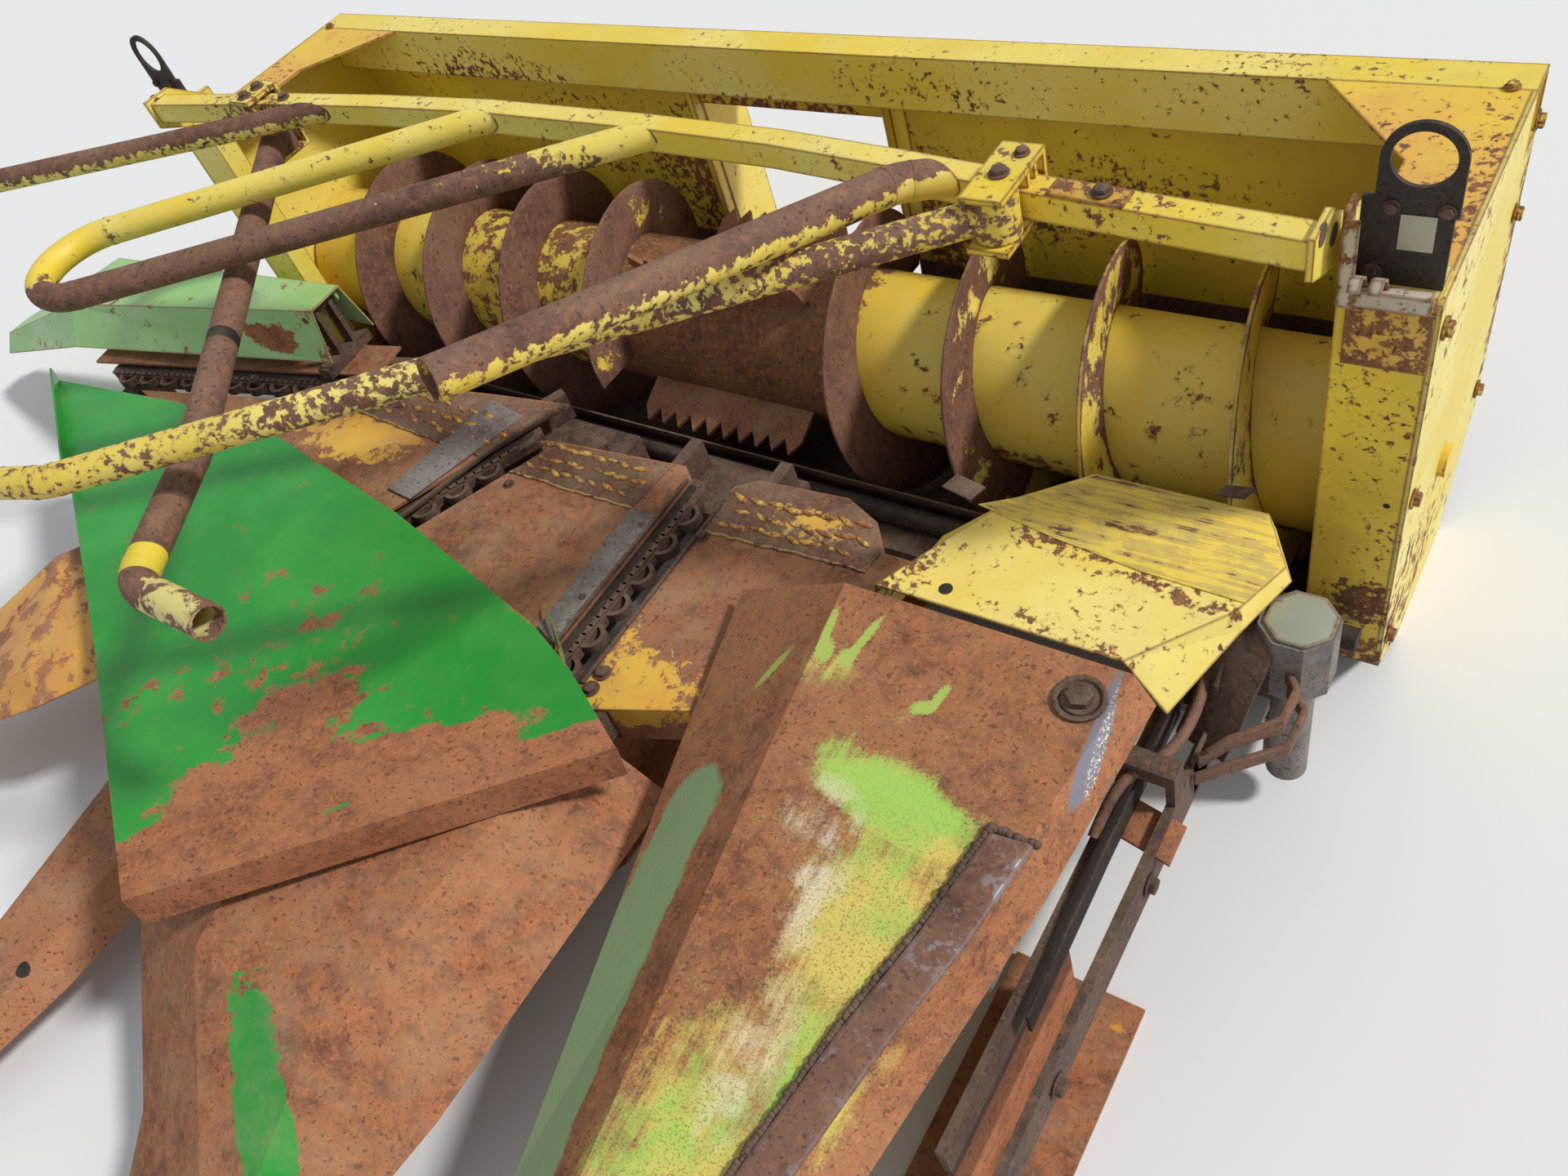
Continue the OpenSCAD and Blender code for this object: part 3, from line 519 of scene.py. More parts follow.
post_yellow = painted("post yellow", srgb(208, 172, 48), YELLOW, wear=0.44, edge=0.4, scale=85, blots=[
    ((1177, 50, 213), (60, 30, 60), 0.24, 0), ((1170, 50, 90), (80, 30, 60), 0.2, 0)],
                      # The dark mark is a hole in the post, painted as shade.
                      marks=[((1196, 50, 422), (5, 8, 5), srgb(24, 20, 16), 0)])

# %% [markdown]
# The tubes are rubbed on top, where the stalks lean on them, so `tops` wears what faces the sky.
# Rings of old paint near the elbow are hard-edged marks.

# %% Tube finishes
hoop_yellow = painted("hoop yellow", YELLOW, YELLOW_FADED, "tube", wear=0.43, edge=0.1, scale=66, blots=[
    ((-390, -302, 838), (600, 74, 66), 0.56, 36), ((-690, -470, 850), (120, 90, 60), 0.22, 36)])
tube_yellow = painted("tube yellow", srgb(226, 190, 58), YELLOW_FADED, "tube", wear=0.50, scale=78,
                      tops=0.34, blots=[((640, 0, 860), (70, 60, 60), -0.3, 0)])
arm_yellow = painted("arm yellow", srgb(226, 196, 74), YELLOW_FADED, "tube", wear=0.52, scale=80,
                     edge=0.1, blots=[((640, -110, 861), (200, 120, 60), 0.1, 40)])
arm_rust = painted("arm rust", srgb(222, 206, 120), srgb(226, 216, 170), "tube", wear=0.98, scale=26,
                   blots=[((50, -878, 797), (130, 100, 80), -0.50, 0),
                          ((-90, -820, 797), (60, 60, 60), -0.3, 0)],
                   marks=[((-75, -857, 797), (26, 90, 60), srgb(222, 196, 56), -48.5),
                          ((-374, -493, 797), (16, 90, 60), srgb(26, 22, 20), -48.5)])

# %% [markdown]
# The auger is bare in the middle, where the paddles throw the crop, and keeps more paint towards
# its right end.

# %% Auger finishes
drum_yellow = painted("drum yellow", srgb(228, 192, 60), srgb(226, 200, 92), wear=0.42, scale=30,
                      edge=0.1, blots=[((0, 280, 295), (330, 400, 400), 0.55, 0),
                                       ((-480, 280, 295), (420, 400, 400), 0.16, 0),
                                       ((620, 200, 180), (500, 200, 120), 0.10, 0)])
flight_paint = painted("flight paint", srgb(226, 194, 62), YELLOW_FADED, "flight", wear=0.45, edge=0.5,
                       scale=14, blots=[((-700, 280, 295), (900, 600, 600), 0.34, 0),
                                        ((250, 280, 295), (220, 600, 600), 0.30, 0),
                                        ((540, 280, 295), (330, 600, 600), 0.17, 0)])

# %% [markdown]
# On the loose hood the rust follows the fold at its wide end, so its blots lie in a row along it,
# turned with the sheet.

# %% Cover, divider and hood finishes
# The cover's yellow is lighter than the frame's: painted light, which lifts it out of the shade that the
# post and tubes cast on it.
lit_cover_yellow = painted("lit cover yellow", srgb(244, 212, 88), srgb(248, 226, 130), wear=0.41, scale=70,
                       edge=0.4, blots=[((650, -250, 410), (60, 130, 60), 0.17, 0),
                                        ((760, -200, 436), (150, 40, 40), 0.04, 30),
                                        ((880, -165, 436), (300, 24, 40), 0.14, -8),
                                        ((900, -300, 436), (260, 20, 40), 0.08, -8)],
                       # The dark mark is a hole in the cover, painted as shade.
                       marks=[((725, -283, 436), (11, 11, 8), srgb(20, 16, 14), 0)])
divider_yellow = painted("divider yellow", srgb(228, 168, 66), srgb(210, 142, 66), "snout", wear=0.50,
                         scale=20, dust=0.3, blots=[((-1100, -640, 300), (300, 160, 120), 0.14, -45)])
hood_green = painted("hood green", GREEN, GREEN_FADED, "snout", wear=0.41, edge=0.1, gloss=0.22,
                     scale=20, dust=0.06, blots=[
    ((-54, -979, 426), (170, 130, 120), 0.40, 45), ((-115, -815, 406), (110, 90, 120), 0.30, 45),
    ((102, -832, 409), (150, 60, 120), 0.36, 47), ((204, -735, 397), (110, 50, 120), 0.30, 47),
    ((-86, -1110, 440), (110, 80, 120), 0.38, 45), ((199, -894, 385), (800, 68, 90), 0.80, 50.4),
    ((60, -900, 410), (330, 130, 60), 0.12, 52.6), ((-250, -760, 400), (320, 200, 120), 0.09, 45)])
divider_green = painted("divider green", PALE_GREEN, PALE_GREEN_FADED, "snout", wear=0.43, gloss=0.36,
                        scale=26, edge=0.6, blots=[((-1020, -150, 385), (110, 60, 40), 0.42, 0)],
                        # The dark mark is the divider's slot, painted as shade.
                        marks=[((-1875, -237, 440), (16, 34, 60), srgb(28, 24, 20), 0)])

# %% [markdown]
# The two middle snouts are worn to rust all over. One still holds a green stripe along its fold,
# and the other only has a hole near its tip, painted as a dark spot of shade.

# %% The middle snouts' finishes
snout_green = painted("snout green", GREEN, GREEN_FADED, "snout", wear=0.96, scale=30, dust=0.3, blots=[
    ((170, -1238, 314), (190, 62, 200), -0.66, -42.5), ((255, -1317, 277), (130, 56, 200), -0.4, -42.5)])
snout_inner_rust = rusty("inner snout rust", "snout", dust=0.3,
                         # The dark mark is the hole near the tip, painted as shade.
                         marks=[((-505, -1350, 143), (14, 14, 20), srgb(28, 22, 18), 0)])

# %% [markdown]
# Bare steel needs no mask. It only picks its set of rust colours, and how much it shines.

# %% Bare steel finishes
deck_rust = rusty("deck rust", "deck", dust=0.28)
snout_rust = rusty("snout rust", "snout", dust=0.3)
tube_rust = rusty("tube rust", "tube")
# Old rust, whose dark tones are partly painted shade.
old_rust_and_shade = rusty("old rust and shade", "old")
oily_rust = rusty("oily rust", "oily", dust=0.1)
grey_steel = rusty("grey steel", "grey", metallic=0.3)
worn_steel = rusty("worn steel", "worn", bump=0.25, dust=0.05, metallic=0.55)
skid_rust = painted("skid rust", srgb(226, 158, 40), srgb(214, 140, 50), "snout", wear=1.0, dust=0.3,
                    blots=[((1080, -600, 8), (90, 26, 40), -0.4, 0)])

# %% [markdown]
# The decks still hold yellow paint in a few places that the crop never rubbed, so a negative blot
# saves it there.

# %% Deck finishes
DECK_YELLOW = srgb(236, 184, 62)
DECK_OLD = srgb(214, 150, 66)
deck_left_paint = painted("left deck paint", DECK_YELLOW, DECK_OLD, wear=0.95, scale=30, kind="deck",
                          dust=0.28, blots=[((-680, -255, 300), (270, 100, 40), -0.56, 0),
                                            ((-560, -215, 300), (90, 24, 40), -0.3, 0)])
deck_middle_paint = painted("middle deck paint", DECK_YELLOW, DECK_OLD, wear=0.95, kind="deck", scale=26,
                            dust=0.3, blots=[((120, -420, 300), (26, 120, 40), -0.3, 0)])
deck_right_paint = painted("right deck paint", DECK_YELLOW, DECK_OLD, wear=0.92, kind="deck", scale=46,
                           dust=0.3, blots=[((300, -560, 290), (250, 170, 60), -0.50, 0),
                                            ((215, -360, 300), (24, 120, 40), -0.24, 0),
                                            ((410, -150, 300), (60, 50, 40), -0.3, 0)])

# %% [markdown]
# **The right snout** tells how the header was used: the crop has rubbed its top to rust, and what
# is left of two coats of paint, yellow over green, is thinned to a dust of specks. So here the
# masks are built for this one piece: an area, broken by a fine grain and by long scratches.

# %% Where the right snout's paint is left
snout_paint, tree, shader, where, lift = start("snout paint", 0.6)
rust = rust_in(tree, where, "snout")
grain = noise(tree, where, 300, 3, 0.7)
clumps = noise(tree, where, 22, 5, 0.6)
drag = node(tree, "ShaderNodeMapping", (("Vector", where), ("Rotation", (0, 0, math.radians(-8))),
                                        ("Scale", (70, 6, 6))))
scratches = noise(tree, drag.outputs[0], 1.0, 4, 0.7)
broken = times(tree, grain, 1.1, times(tree, clumps, 0.9))
broken = times(tree, scratches, 0.8, broken)
area = spread(tree, where, blot, [
    ((805, -588, 430), (165, 56, 120), 0.80, -9), ((810, -690, 418), (180, 140, 120), 0.48, 0),
    ((880, -800, 408), (90, 240, 120), 0.46, 8), ((810, -960, 388), (170, 280, 120), 0.50, 4),
    ((800, -1280, 320), (120, 340, 160), 0.40, 6), ((760, -1150, 360), (140, 240, 120), 0.36, 8),
    ((640, -452, 436), (62, 56, 60), 0.44, 0), ((780, -486, 433), (46, 34, 60), 0.34, 0),
    ((728, -800, 405), (50, 120, 90), -0.32, 6)])
left_over = ramp(tree, maths(tree, "ADD", area, maths(tree, "SUBTRACT", broken, 1.4)), 0.24, 0.66)
band = ball(tree, where, (805, -588, 430), (200, 74, 120), -9)
thinned = times(tree, ramp(tree, grain, 0.52, 0.62), times(tree, band, -0.7, 0.8))
left_over = times(tree, left_over, maths(tree, "SUBTRACT", 1.0, thinned))

# %% [markdown]
# The colour of what is left goes from yellow to lime in patches, and is chalky where the sun has
# bleached it. Above the lime band a few spikes of paint stand alone.

# %% The colours of the snout's paint
greener = times(tree, band, 0.2, noise(tree, where, 9, 4, 0.6))
lime = blend(tree, ramp(tree, greener, 0.42, 0.64), srgb(232, 208, 104), srgb(170, 216, 92))
chalk = times(tree, spread(tree, where, blot, [
    ((735, -660, 420), (70, 70, 60), 1.0, 0), ((768, -730, 413), (50, 120, 60), 0.9, 6),
    ((806, -925, 375), (50, 120, 60), 0.8, 0)]), ramp(tree, clumps, 0.38, 0.56))
lime = blend(tree, chalk, lime, srgb(240, 226, 196))
color = blend(tree, times(tree, left_over, 0.95), rust.outputs["Color"], lime)
spikes = spread(tree, where, ball, [
    ((606, -404, 437), (9, 50, 60), 10), ((662, -398, 437), (9, 52, 60), -8),
    ((620, -436, 436), (17, 26, 60), 10), ((655, -434, 436), (16, 22, 60), -8),
    ((799, -446, 434), (9, 32, 60), -8), ((786, -466, 434), (22, 13, 60), 30),
    ((540, -466, 396), (10, 46, 90), -24)])
spiky = ragged(tree, spikes, grain, 1.3, 0.1, 0.4)
color = blend(tree, times(tree, spiky, 0.9), color, srgb(176, 200, 92))

# %% [markdown]
# Three edges finish it: the pale green stripe down the left flank, the right shoulder that the
# stalks have polished bare, its grey-blue partly a painted sheen, with white flecks on it, and old
# green low on the right flank.

# %% The snout's stripe, shoulder and flank
stripe = spread(tree, where, ball, [
    ((528, -690, 350), (66, 80, 200), 0), ((534, -780, 340), (66, 120, 200), 4),
    ((545, -880, 325), (66, 150, 200), 6), ((566, -1000, 310), (60, 180, 200), 8),
    ((600, -1150, 290), (56, 220, 200), 10), ((660, -1420, 180), (44, 330, 240), 10)])
striped = times(tree, ragged(tree, stripe, clumps, 0.5, 0.1, 0.3), 0.9)
color = blend(tree, striped, color, srgb(136, 172, 124))
# The grey-blue band on the right shoulder is partly bare polished steel and partly a painted sheen.
sheen_and_polish = ball(tree, where, (1009, -480, 425), (15, 230, 40), 6.5)
color = blend(tree, ragged(tree, sheen_and_polish, clumps, 0.4, 0.12, 0.4), color, srgb(128, 124, 132))
shoulder = ramp(tree, ball(tree, where, (1013, -480, 420), (7, 210, 40), 6.5), 0.1, 0.4)
color = blend(tree, times(tree, shoulder, ramp(tree, grain, 0.52, 0.6)), color, srgb(232, 222, 206))
low = spread(tree, where, ball, [((1003, -800, 270), (34, 420, 36), 7),
                                 ((935, -1250, 200), (34, 400, 40), 8)])
flank = times(tree, ragged(tree, low, clumps, 0.6, 0.2, 0.4), 0.8)
color = blend(tree, flank, color, srgb(176, 190, 104))
tree.links.new(rust.outputs["Height"], lift.inputs["Height"])
dusted(tree, shader, where, color, rust.outputs["Roughness"], 0.12)
print("finishes", len(bpy.data.materials))

# %% [markdown]
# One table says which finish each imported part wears. A part that is missing here stops the
# script, so none is left grey.

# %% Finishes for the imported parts
FINISHES = {
    "end_sheet_left": frame_yellow, "end_sheet_right": end_yellow,
    "front_post_left": frame_yellow, "front_post_right": post_yellow,
    "top_beam": beam_yellow, "corner_gussets": gusset_yellow, "back_sheet": sheet_yellow,
    "trough": old_rust_and_shade, "throat_frame": frame_yellow, "toolbar": old_rust_and_shade,
    "deck_outer": deck_rust, "deck_left": deck_left_paint, "deck_middle": deck_middle_paint,
    "deck_right": deck_right_paint, "chain_left": old_rust_and_shade, "chain_middle": old_rust_and_shade,
    "chain_right": old_rust_and_shade, "chain_guides": oily_rust, "unit_frame_left": old_rust_and_shade,
    "unit_frame_middle": old_rust_and_shade, "unit_frame_right": old_rust_and_shade, "skids": skid_rust,
    "loose_hood": hood_green, "snout_middle": snout_green, "snout_inner": snout_inner_rust,
    "divider_left": divider_yellow, "end_cover": lit_cover_yellow, "side_gearbox": grey_steel,
    "side_frame": old_rust_and_shade, "left_bearer": old_rust_and_shade, "drive_shaft": oily_rust,
    "lift_eyes": oily_rust, "hinge_brackets": frame_yellow, "auger_drum": drum_yellow,
    "auger_flights": flight_paint, "feed_paddles": deck_rust, "push_bar": push_yellow,
    "push_hoop": hoop_yellow, "push_tubes": tube_yellow, "arm_brackets": bracket_yellow,
    "arm_left": arm_rust, "arm_right": arm_yellow, "snout_right": snout_paint,
    "snout_left": divider_green,
}
for name, part in nodes.items():
    part.data.materials.clear()
    part.data.materials.append(FINISHES[name])
print("finished parts", len(nodes))

# %% [markdown]
# ## Modelling by hand
# The small pieces are made as one would make them at the screen: a primitive, then extrudes,
# insets and bevels in edit mode. `only` selects whole objects, and `pick` selects faces by a rule.

# %% Helpers for modelling


def only(*things):
    """Selects these objects and nothing else, the last one active."""
    bpy.ops.object.select_all(action="DESELECT")
    for thing in things:
        thing.select_set(True)
    bpy.context.view_layer.objects.active = things[-1]


def pick(piece, rule):
    """Opens edit mode with only the faces selected that pass the rule."""
    only(piece)
    bpy.ops.object.mode_set(mode="EDIT")
    bpy.ops.mesh.select_mode(type="FACE")
    bpy.ops.mesh.select_all(action="DESELECT")
    mesh = bmesh.from_edit_mesh(piece.data)
    for face in mesh.faces:
        face.select_set(rule(face))
    bmesh.update_edit_mesh(piece.data)


def close_edit():
    """Turns every face outwards and leaves edit mode."""
    bpy.ops.mesh.select_all(action="SELECT")
    bpy.ops.mesh.remove_doubles(threshold=0.00002)
    bpy.ops.mesh.normals_make_consistent(inside=False)
    bpy.ops.object.mode_set(mode="OBJECT")


def modified(piece, kind, **settings):
    """Adds a modifier and applies it."""
    only(piece)
    added = piece.modifiers.new(kind.lower(), kind)
    for key, value in settings.items():
        setattr(added, key, value)
    bpy.ops.object.modifier_apply(modifier=added.name)


def softened(piece, width, segments=2):
    """Bevels the sharp edges by a width in metres."""
    modified(piece, "BEVEL", width=width, segments=segments, limit_method="ANGLE", angle_limit=0.7)

# %% [markdown]
# A finished piece has its place in its mesh and its own origin at the frame's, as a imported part
# has. It rides on one body, so that it moves with that body's joint.

# %% Helper that finishes a piece


def finished(name, parts, body, material, angle=35):
    """Joins the parts, puts the origin back to the frame's and lets the piece ride on its body."""
    only(*parts)
    if len(parts) > 1:
        bpy.ops.object.join()
    piece = bpy.context.object
    bpy.ops.object.transform_apply(location=True, rotation=True, scale=True)
    bpy.ops.object.shade_smooth_by_angle(angle=math.radians(angle))
    piece.name = name
    piece.data.materials.clear()
    piece.data.materials.append(material)
    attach(piece, body)
    print(name, len(piece.data.polygons), "faces")
    return piece

# %% [markdown]
# **Plates.** A plate that is cut from sheet starts as a filled circle with as many corners as the
# plate has. Each is pulled to its place, and the face is extruded by the sheet's thickness.

# %% Helpers for plates
SOFT = 0.0008


def cut_plate(corners, thick, soft=SOFT):
    """A flat plate: a filled circle, its corners pulled to the outline, then extruded. It grows up,
    or along its normal where it stands upright, and backwards with a thickness below zero."""
    places = [at(*corner) for corner in corners]
    plate = fresh(bpy.ops.mesh.primitive_circle_add, vertices=len(places), fill_type="NGON")
    for vertex, place in zip(plate.data.vertices, places):
        vertex.co = place
    plate.data.update()
    push = plate.data.polygons[0].normal.normalized()
    if push.z < -0.01:
        push = -push
    pick(plate, lambda face: True)
    bpy.ops.mesh.extrude_region_move(TRANSFORM_OT_translate={"value": push * thick / 1000})
    close_edit()
    softened(plate, soft)
    return plate


def level_plate(outline, height, thick, soft=SOFT):
    """A plate that lies level, from its outline in x and y."""
    return cut_plate([(x, y, height) for x, y in outline], thick, soft)

# %% [markdown]
# **Ribbons and rods.** Straps, angles and lips are flat bars that bend along their length, so one
# short edge is extruded from bend to bend and the strip then gets its thickness. A round bar is a
# curve with a round bevel, turned into a mesh.

# %% Helpers for bent bars


def ribbon(points, across, thick, soft=SOFT):
    """A bent flat bar: one edge is extruded from point to point, then given its thickness."""
    side = Vector(across) / 2000
    places = [at(*point) for point in points]
    strip = fresh(bpy.ops.mesh.primitive_plane_add, size=1)
    ends = [places[0] - side, places[0] + side, places[1] - side, places[1] + side]
    for vertex, place in zip(strip.data.vertices, ends):
        vertex.co = place
    for start_at, end_at in zip(places[1:], places[2:]):
        only(strip)
        bpy.ops.object.mode_set(mode="EDIT")
        bpy.ops.mesh.select_mode(type="VERT")
        bpy.ops.mesh.select_all(action="DESELECT")
        mesh = bmesh.from_edit_mesh(strip.data)
        for vertex in mesh.verts:
            near = min((vertex.co - start_at - side).length, (vertex.co - start_at + side).length)
            vertex.select_set(near < 0.0001)
        mesh.select_flush(True)
        bmesh.update_edit_mesh(strip.data)
        bpy.ops.mesh.extrude_edges_move(TRANSFORM_OT_translate={"value": end_at - start_at})
        bpy.ops.object.mode_set(mode="OBJECT")
    modified(strip, "SOLIDIFY", thickness=thick / 1000, offset=0, use_even_offset=True)
    softened(strip, soft)
    return strip


def upright(x, y, start_z, end_z, across, thick):
    """A straight bar that stands upright, from one height to the other."""
    return ribbon([(x, y, start_z), (x, y, end_z)], across, thick)


def round_bar(points, radius, sides=3):
    """A bent round bar: a path with a round bevel, turned into a mesh with closed ends."""
    path = fresh(bpy.ops.curve.primitive_nurbs_path_add)
    path.data.splines.clear()
    spline = path.data.splines.new("NURBS")
    spline.points.add(len(points) - 1)
    for point, place in zip(spline.points, points):
        point.co = (*at(*place), 1)
    spline.order_u = 3
    spline.use_endpoint_u = True
    spline.resolution_u = 5
    path.data.bevel_depth = radius / 1000
    path.data.bevel_resolution = sides
    path.data.use_fill_caps = True
    bpy.ops.object.convert(target="MESH")
    return bpy.context.object

# %% [markdown]
# **Copies.** What repeats is modelled once, at unit size and on the Z axis. `copies` sets it down
# along any direction, each copy with its own mesh.

# %% Helper for copies


def copies(master, places):
    """Copies of a master, each with its own mesh: (point, direction of its axis, size, spin)."""
    made = []
    for point, axis, size, spin in places:
        copy = master.copy()
        copy.data = master.data.copy()
        scene.collection.objects.link(copy)
        turned = Vector(axis).to_track_quat("Z", "Y").to_matrix().to_4x4()
        copy.matrix_world = (Matrix.Translation(at(*point)) @ turned
                             @ Matrix.Rotation(spin, 4, "Z") @ Matrix.Diagonal((size, size, size, 1)))
        made.append(copy)
    return made

# %% Directions on the header
UP = (0, 0, 1)
FRONT = (0, -1, 0)
RIGHT = (1, 0, 0)
LEFT = (-1, 0, 0)
BACK = (0, 1, 0)
print("front is", FRONT)

# %% [markdown]
# **Bolts.** Each is a hexagon head on a washer. The head's top is inset and lifted, which gives
# the round chamfer that forged heads have. One bolt of unit size is modelled and copied, each copy
# turned at random, because no fitter lines the heads up.

# %% The bolt
BOLT = 0.011
washer = fresh(bpy.ops.mesh.primitive_cylinder_add, vertices=16, radius=1.35, depth=0.28,
               location=(0, 0, 0.14))
softened(washer, 0.06, 1)
head = fresh(bpy.ops.mesh.primitive_cylinder_add, vertices=6, radius=1.0, depth=0.6,
             location=(0, 0, 0.56))
pick(head, lambda face: face.normal.z > 0.9)
bpy.ops.mesh.inset(thickness=0.12)
bpy.ops.transform.translate(value=(0, 0, 0.08))
close_edit()
only(washer, head)
bpy.ops.object.join()
bolt = bpy.context.object
bpy.ops.object.transform_apply(location=True, rotation=True, scale=True)
print("bolt", len(bolt.data.polygons), "faces")


def bolts(places):
    """Copies of the bolt, each turned at random: (point, direction, size)."""
    return copies(bolt, [(point, axis, size * BOLT, random.random()) for point, axis, size in places])

# %% [markdown]
# Each face that carries bolts has a name for its place, so that every washer lies on the metal. The
# seed fixes the random turns: the same bolts come out at every run.

# %% Bolts on the header's frame
END_FACE = 1221
FLANGE_FACE = 667
SHEET_BACK = 547
POST_FACE = 49
random.seed(4)
places = [((x, 485, 751), UP, 0.7) for x in (-1190, 1190)]
for side in (-1, 1):
    places += [((side * END_FACE, y, z), (side, 0, 0), 1)
               for y, z in ((75, 130), (75, 420), (75, 700), (500, 240), (500, 560), (515, 690))]
    places += [((side * x, FLANGE_FACE, z), BACK, 1.25) for x in (125, 262) for z in (100, 640)]
    places += [((side * x, SHEET_BACK, z), BACK, 0.8) for x in (400, 700, 1000) for z in (330, 640)]
    places += [((side * x, POST_FACE, 120), FRONT, 0.8) for x in (1134, 1190)]
bolt_yellow = painted("bolt yellow", YELLOW, YELLOW_FADED, wear=0.56, scale=90)
finished("frame_bolts", bolts(places), "header", bolt_yellow)

# %% Rusty bolts on the decks, the units and the side frame
DECK_TOP = 300
SIDE_FACE = 1081
places = [((x, y, DECK_TOP), UP, size) for x, y, size in (
    (214, -232, 0.9), (225, -531, 1.0), (226, -563, 1.0), (590, -200, 0.8), (-232, -250, 0.7),
    (96, -250, 0.7), (94, -420, 0.7), (-382, -430, 0.8), (-640, -150, 0.7), (-420, -110, 0.7),
    (-1100, -190, 0.8), (-1300, -150, 0.8), (-1500, -110, 0.8), (-900, -230, 0.8))]
places += [((SIDE_FACE, y, z), RIGHT, size) for y, z, size in (
    (-220, 240, 1.2), (-480, 220, 1.1), (-760, 220, 1.1))]
places += [((x, y, z), FRONT, size) for x, y, z, size in (
    (1038, -130, 181, 0.8), (-800, -261, 200, 1.0), (-760, -261, 200, 1.0), (-300, -181, 200, 1.0),
    (-180, -181, 200, 1.0), (100, -141, 200, 1.0), (220, -141, 200, 1.0))]
finished("deck_bolts", bolts(places), "header", old_rust_and_shade)

# %% [markdown]
# **Wear plates.** The rear end of each deck carries a thin welded plate, because the chains drag
# the stalks over it. It is a level plate on the deck, with yellow paint left in its hollows.

# %% Wear plates
WEAR_PLATE = 2.5
outlines = (
    [(-734, -190), (-430, -205), (-345, -208), (-266, -40), (-458, -62), (-716, -103)],
    [(-252, -221), (48, -219), (60, -108), (-200, -129)],
    [(206, -220), (520, -203), (524, -165), (486, -110), (413, -78), (238, -91), (206, -118)])
bands = [level_plate(outline, DECK_TOP, WEAR_PLATE) for outline in outlines]
band_paint = painted("band paint", srgb(228, 178, 62), srgb(204, 150, 70), "tube", wear=0.84, scale=44,
                     dust=0.3, blots=[((400, -140, 300), (130, 80, 40), -0.36, 0),
                                      ((-690, -150, 300), (90, 40, 40), -0.3, 0)])
finished("wear_plates", bands, "header", band_paint)

# %% [markdown]
# Short beads of hard weld lie across each plate. A bead is a squashed ball whose one end is
# drawn in. The rows are uneven, as a hand makes them, so every place and size has a random share.

# %% Hard-weld beads
bead = fresh(bpy.ops.mesh.primitive_ico_sphere_add, subdivisions=2, radius=1)
bpy.ops.transform.resize(value=(1.0, 0.32, 0.26))
pick(bead, lambda face: face.calc_center_median().x > 0.4)
bpy.ops.transform.resize(value=(1.0, 0.7, 0.8))
close_edit()
bpy.ops.object.transform_apply(location=False, rotation=False, scale=True)
ROWS = 3
ROW_STEP = 30
random.seed(11)
beads = []
for left, right, count in (((-700, -170), (-320, -176), 9), ((-225, -200), (35, -196), 8),
                           ((235, -195), (500, -180), 8)):
    for row in range(ROWS):
        for k in range(count):
            share = (k + 0.5 * (row % 2)) / count
            x = left[0] + (right[0] - left[0]) * share + random.uniform(-5, 5)
            y = left[1] + (right[1] - left[1]) * share + row * ROW_STEP + random.uniform(-4, 4)
            size = 0.018 * random.uniform(0.8, 1.2)
            beads.append(((x, y, DECK_TOP + 3), UP, size, random.uniform(-0.5, 0.2)))
bead_paint = painted("bead paint", srgb(244, 204, 92), DECK_YELLOW, "snout", wear=0.53, scale=80,
                     dust=0.1)
finished("hard_weld_beads", copies(bead, beads), "header", bead_paint, 60)

# %% [markdown]
# A seam of weld holds each plate's front edge down. It is a thin round bar whose points wander a
# little to either side of the edge.

# %% Seam welds of the wear plates
SEAM_RADIUS = 3.2
SEAM_STEP = 12
seams = []
seam_rand = random.Random(5)
for line in (((-734, -192), (-430, -207), (-345, -210)), ((-252, -223), (48, -221)),
             ((206, -222), (433, -208), (520, -205))):
    path = []
    for (x0, y0), (x1, y1) in zip(line, line[1:]):
        steps = max(2, round(math.hypot(x1 - x0, y1 - y0) / SEAM_STEP))
        for k in range(steps):
            y = y0 + (y1 - y0) * k / steps + seam_rand.uniform(-2.2, 2.2)
            path.append((x0 + (x1 - x0) * k / steps, y, DECK_TOP + 1))
    seams.append(round_bar(path + [(*line[-1], DECK_TOP + 1)], SEAM_RADIUS, 1))
seam_paint = painted("seam paint", srgb(240, 200, 96), srgb(226, 196, 132), "tube", wear=0.50, scale=70)
finished("seam_welds", seams, "header", seam_paint, 60)

# %% [markdown]
# **Edge rails.** Along each opening the deck's edge is a bar that the chain and the stalks polish.
# It is a flat bar with rounded edges, bare and bright on its top, and a rusty lip stands in the slot.

# %% Polished edge rails
RAIL_ROUND = 0.0015
rails = [level_plate(outline, DECK_TOP + 2, 4, RAIL_ROUND) for outline in (
    [(-433, -75), (-330, -92), (-408, -352), (-478, -346)],
    [(52, -222), (106, -222), (112, -520), (58, -500)])]
finished("edge_rails", rails, "header", worn_steel)
edges = [ribbon([(-262, -40, 304), (-330, -180, 304), (-398, -420, 304)], (7, -3, 0), 8),
         ribbon([(111, -130, 304), (111, -560, 304)], (6, 0, 0), 8),
         ribbon([(206, -130, 303), (206, -560, 303)], (6, 0, 0), 6)]
finished("slot_edges", edges, "header", old_rust_and_shade)

# %% [markdown]
# **The right snout's bar.** A heavy flat bar is welded along the snout's right shoulder, where the
# stalks hit it first. It follows the fold of the sheet, so it is a ribbon with a generous bevel.

# %% The welded bar
bar = ribbon([(970, -588, 436), (947, -729, 420), (915, -860, 403), (888, -1010, 384),
              (872, -1100, 372), (858, -1170, 363), (843, -1300, 306), (828, -1420, 253),
              (797, -1640, 157)], (54, 8, -4), 14, 0.006)
bar_metal = painted("bar metal", srgb(142, 134, 138), srgb(126, 110, 108), "flight", wear=0.62,
                    scale=30, edge=-0.2, gloss=0.3)
finished("shoulder_bar", [bar], "snout_right", bar_metal, 50)

# %% [markdown]
# The weld along the bar is a lumpy bead. It is made from overlapping drops, whose tops are drawn
# in, set close together along the seam.

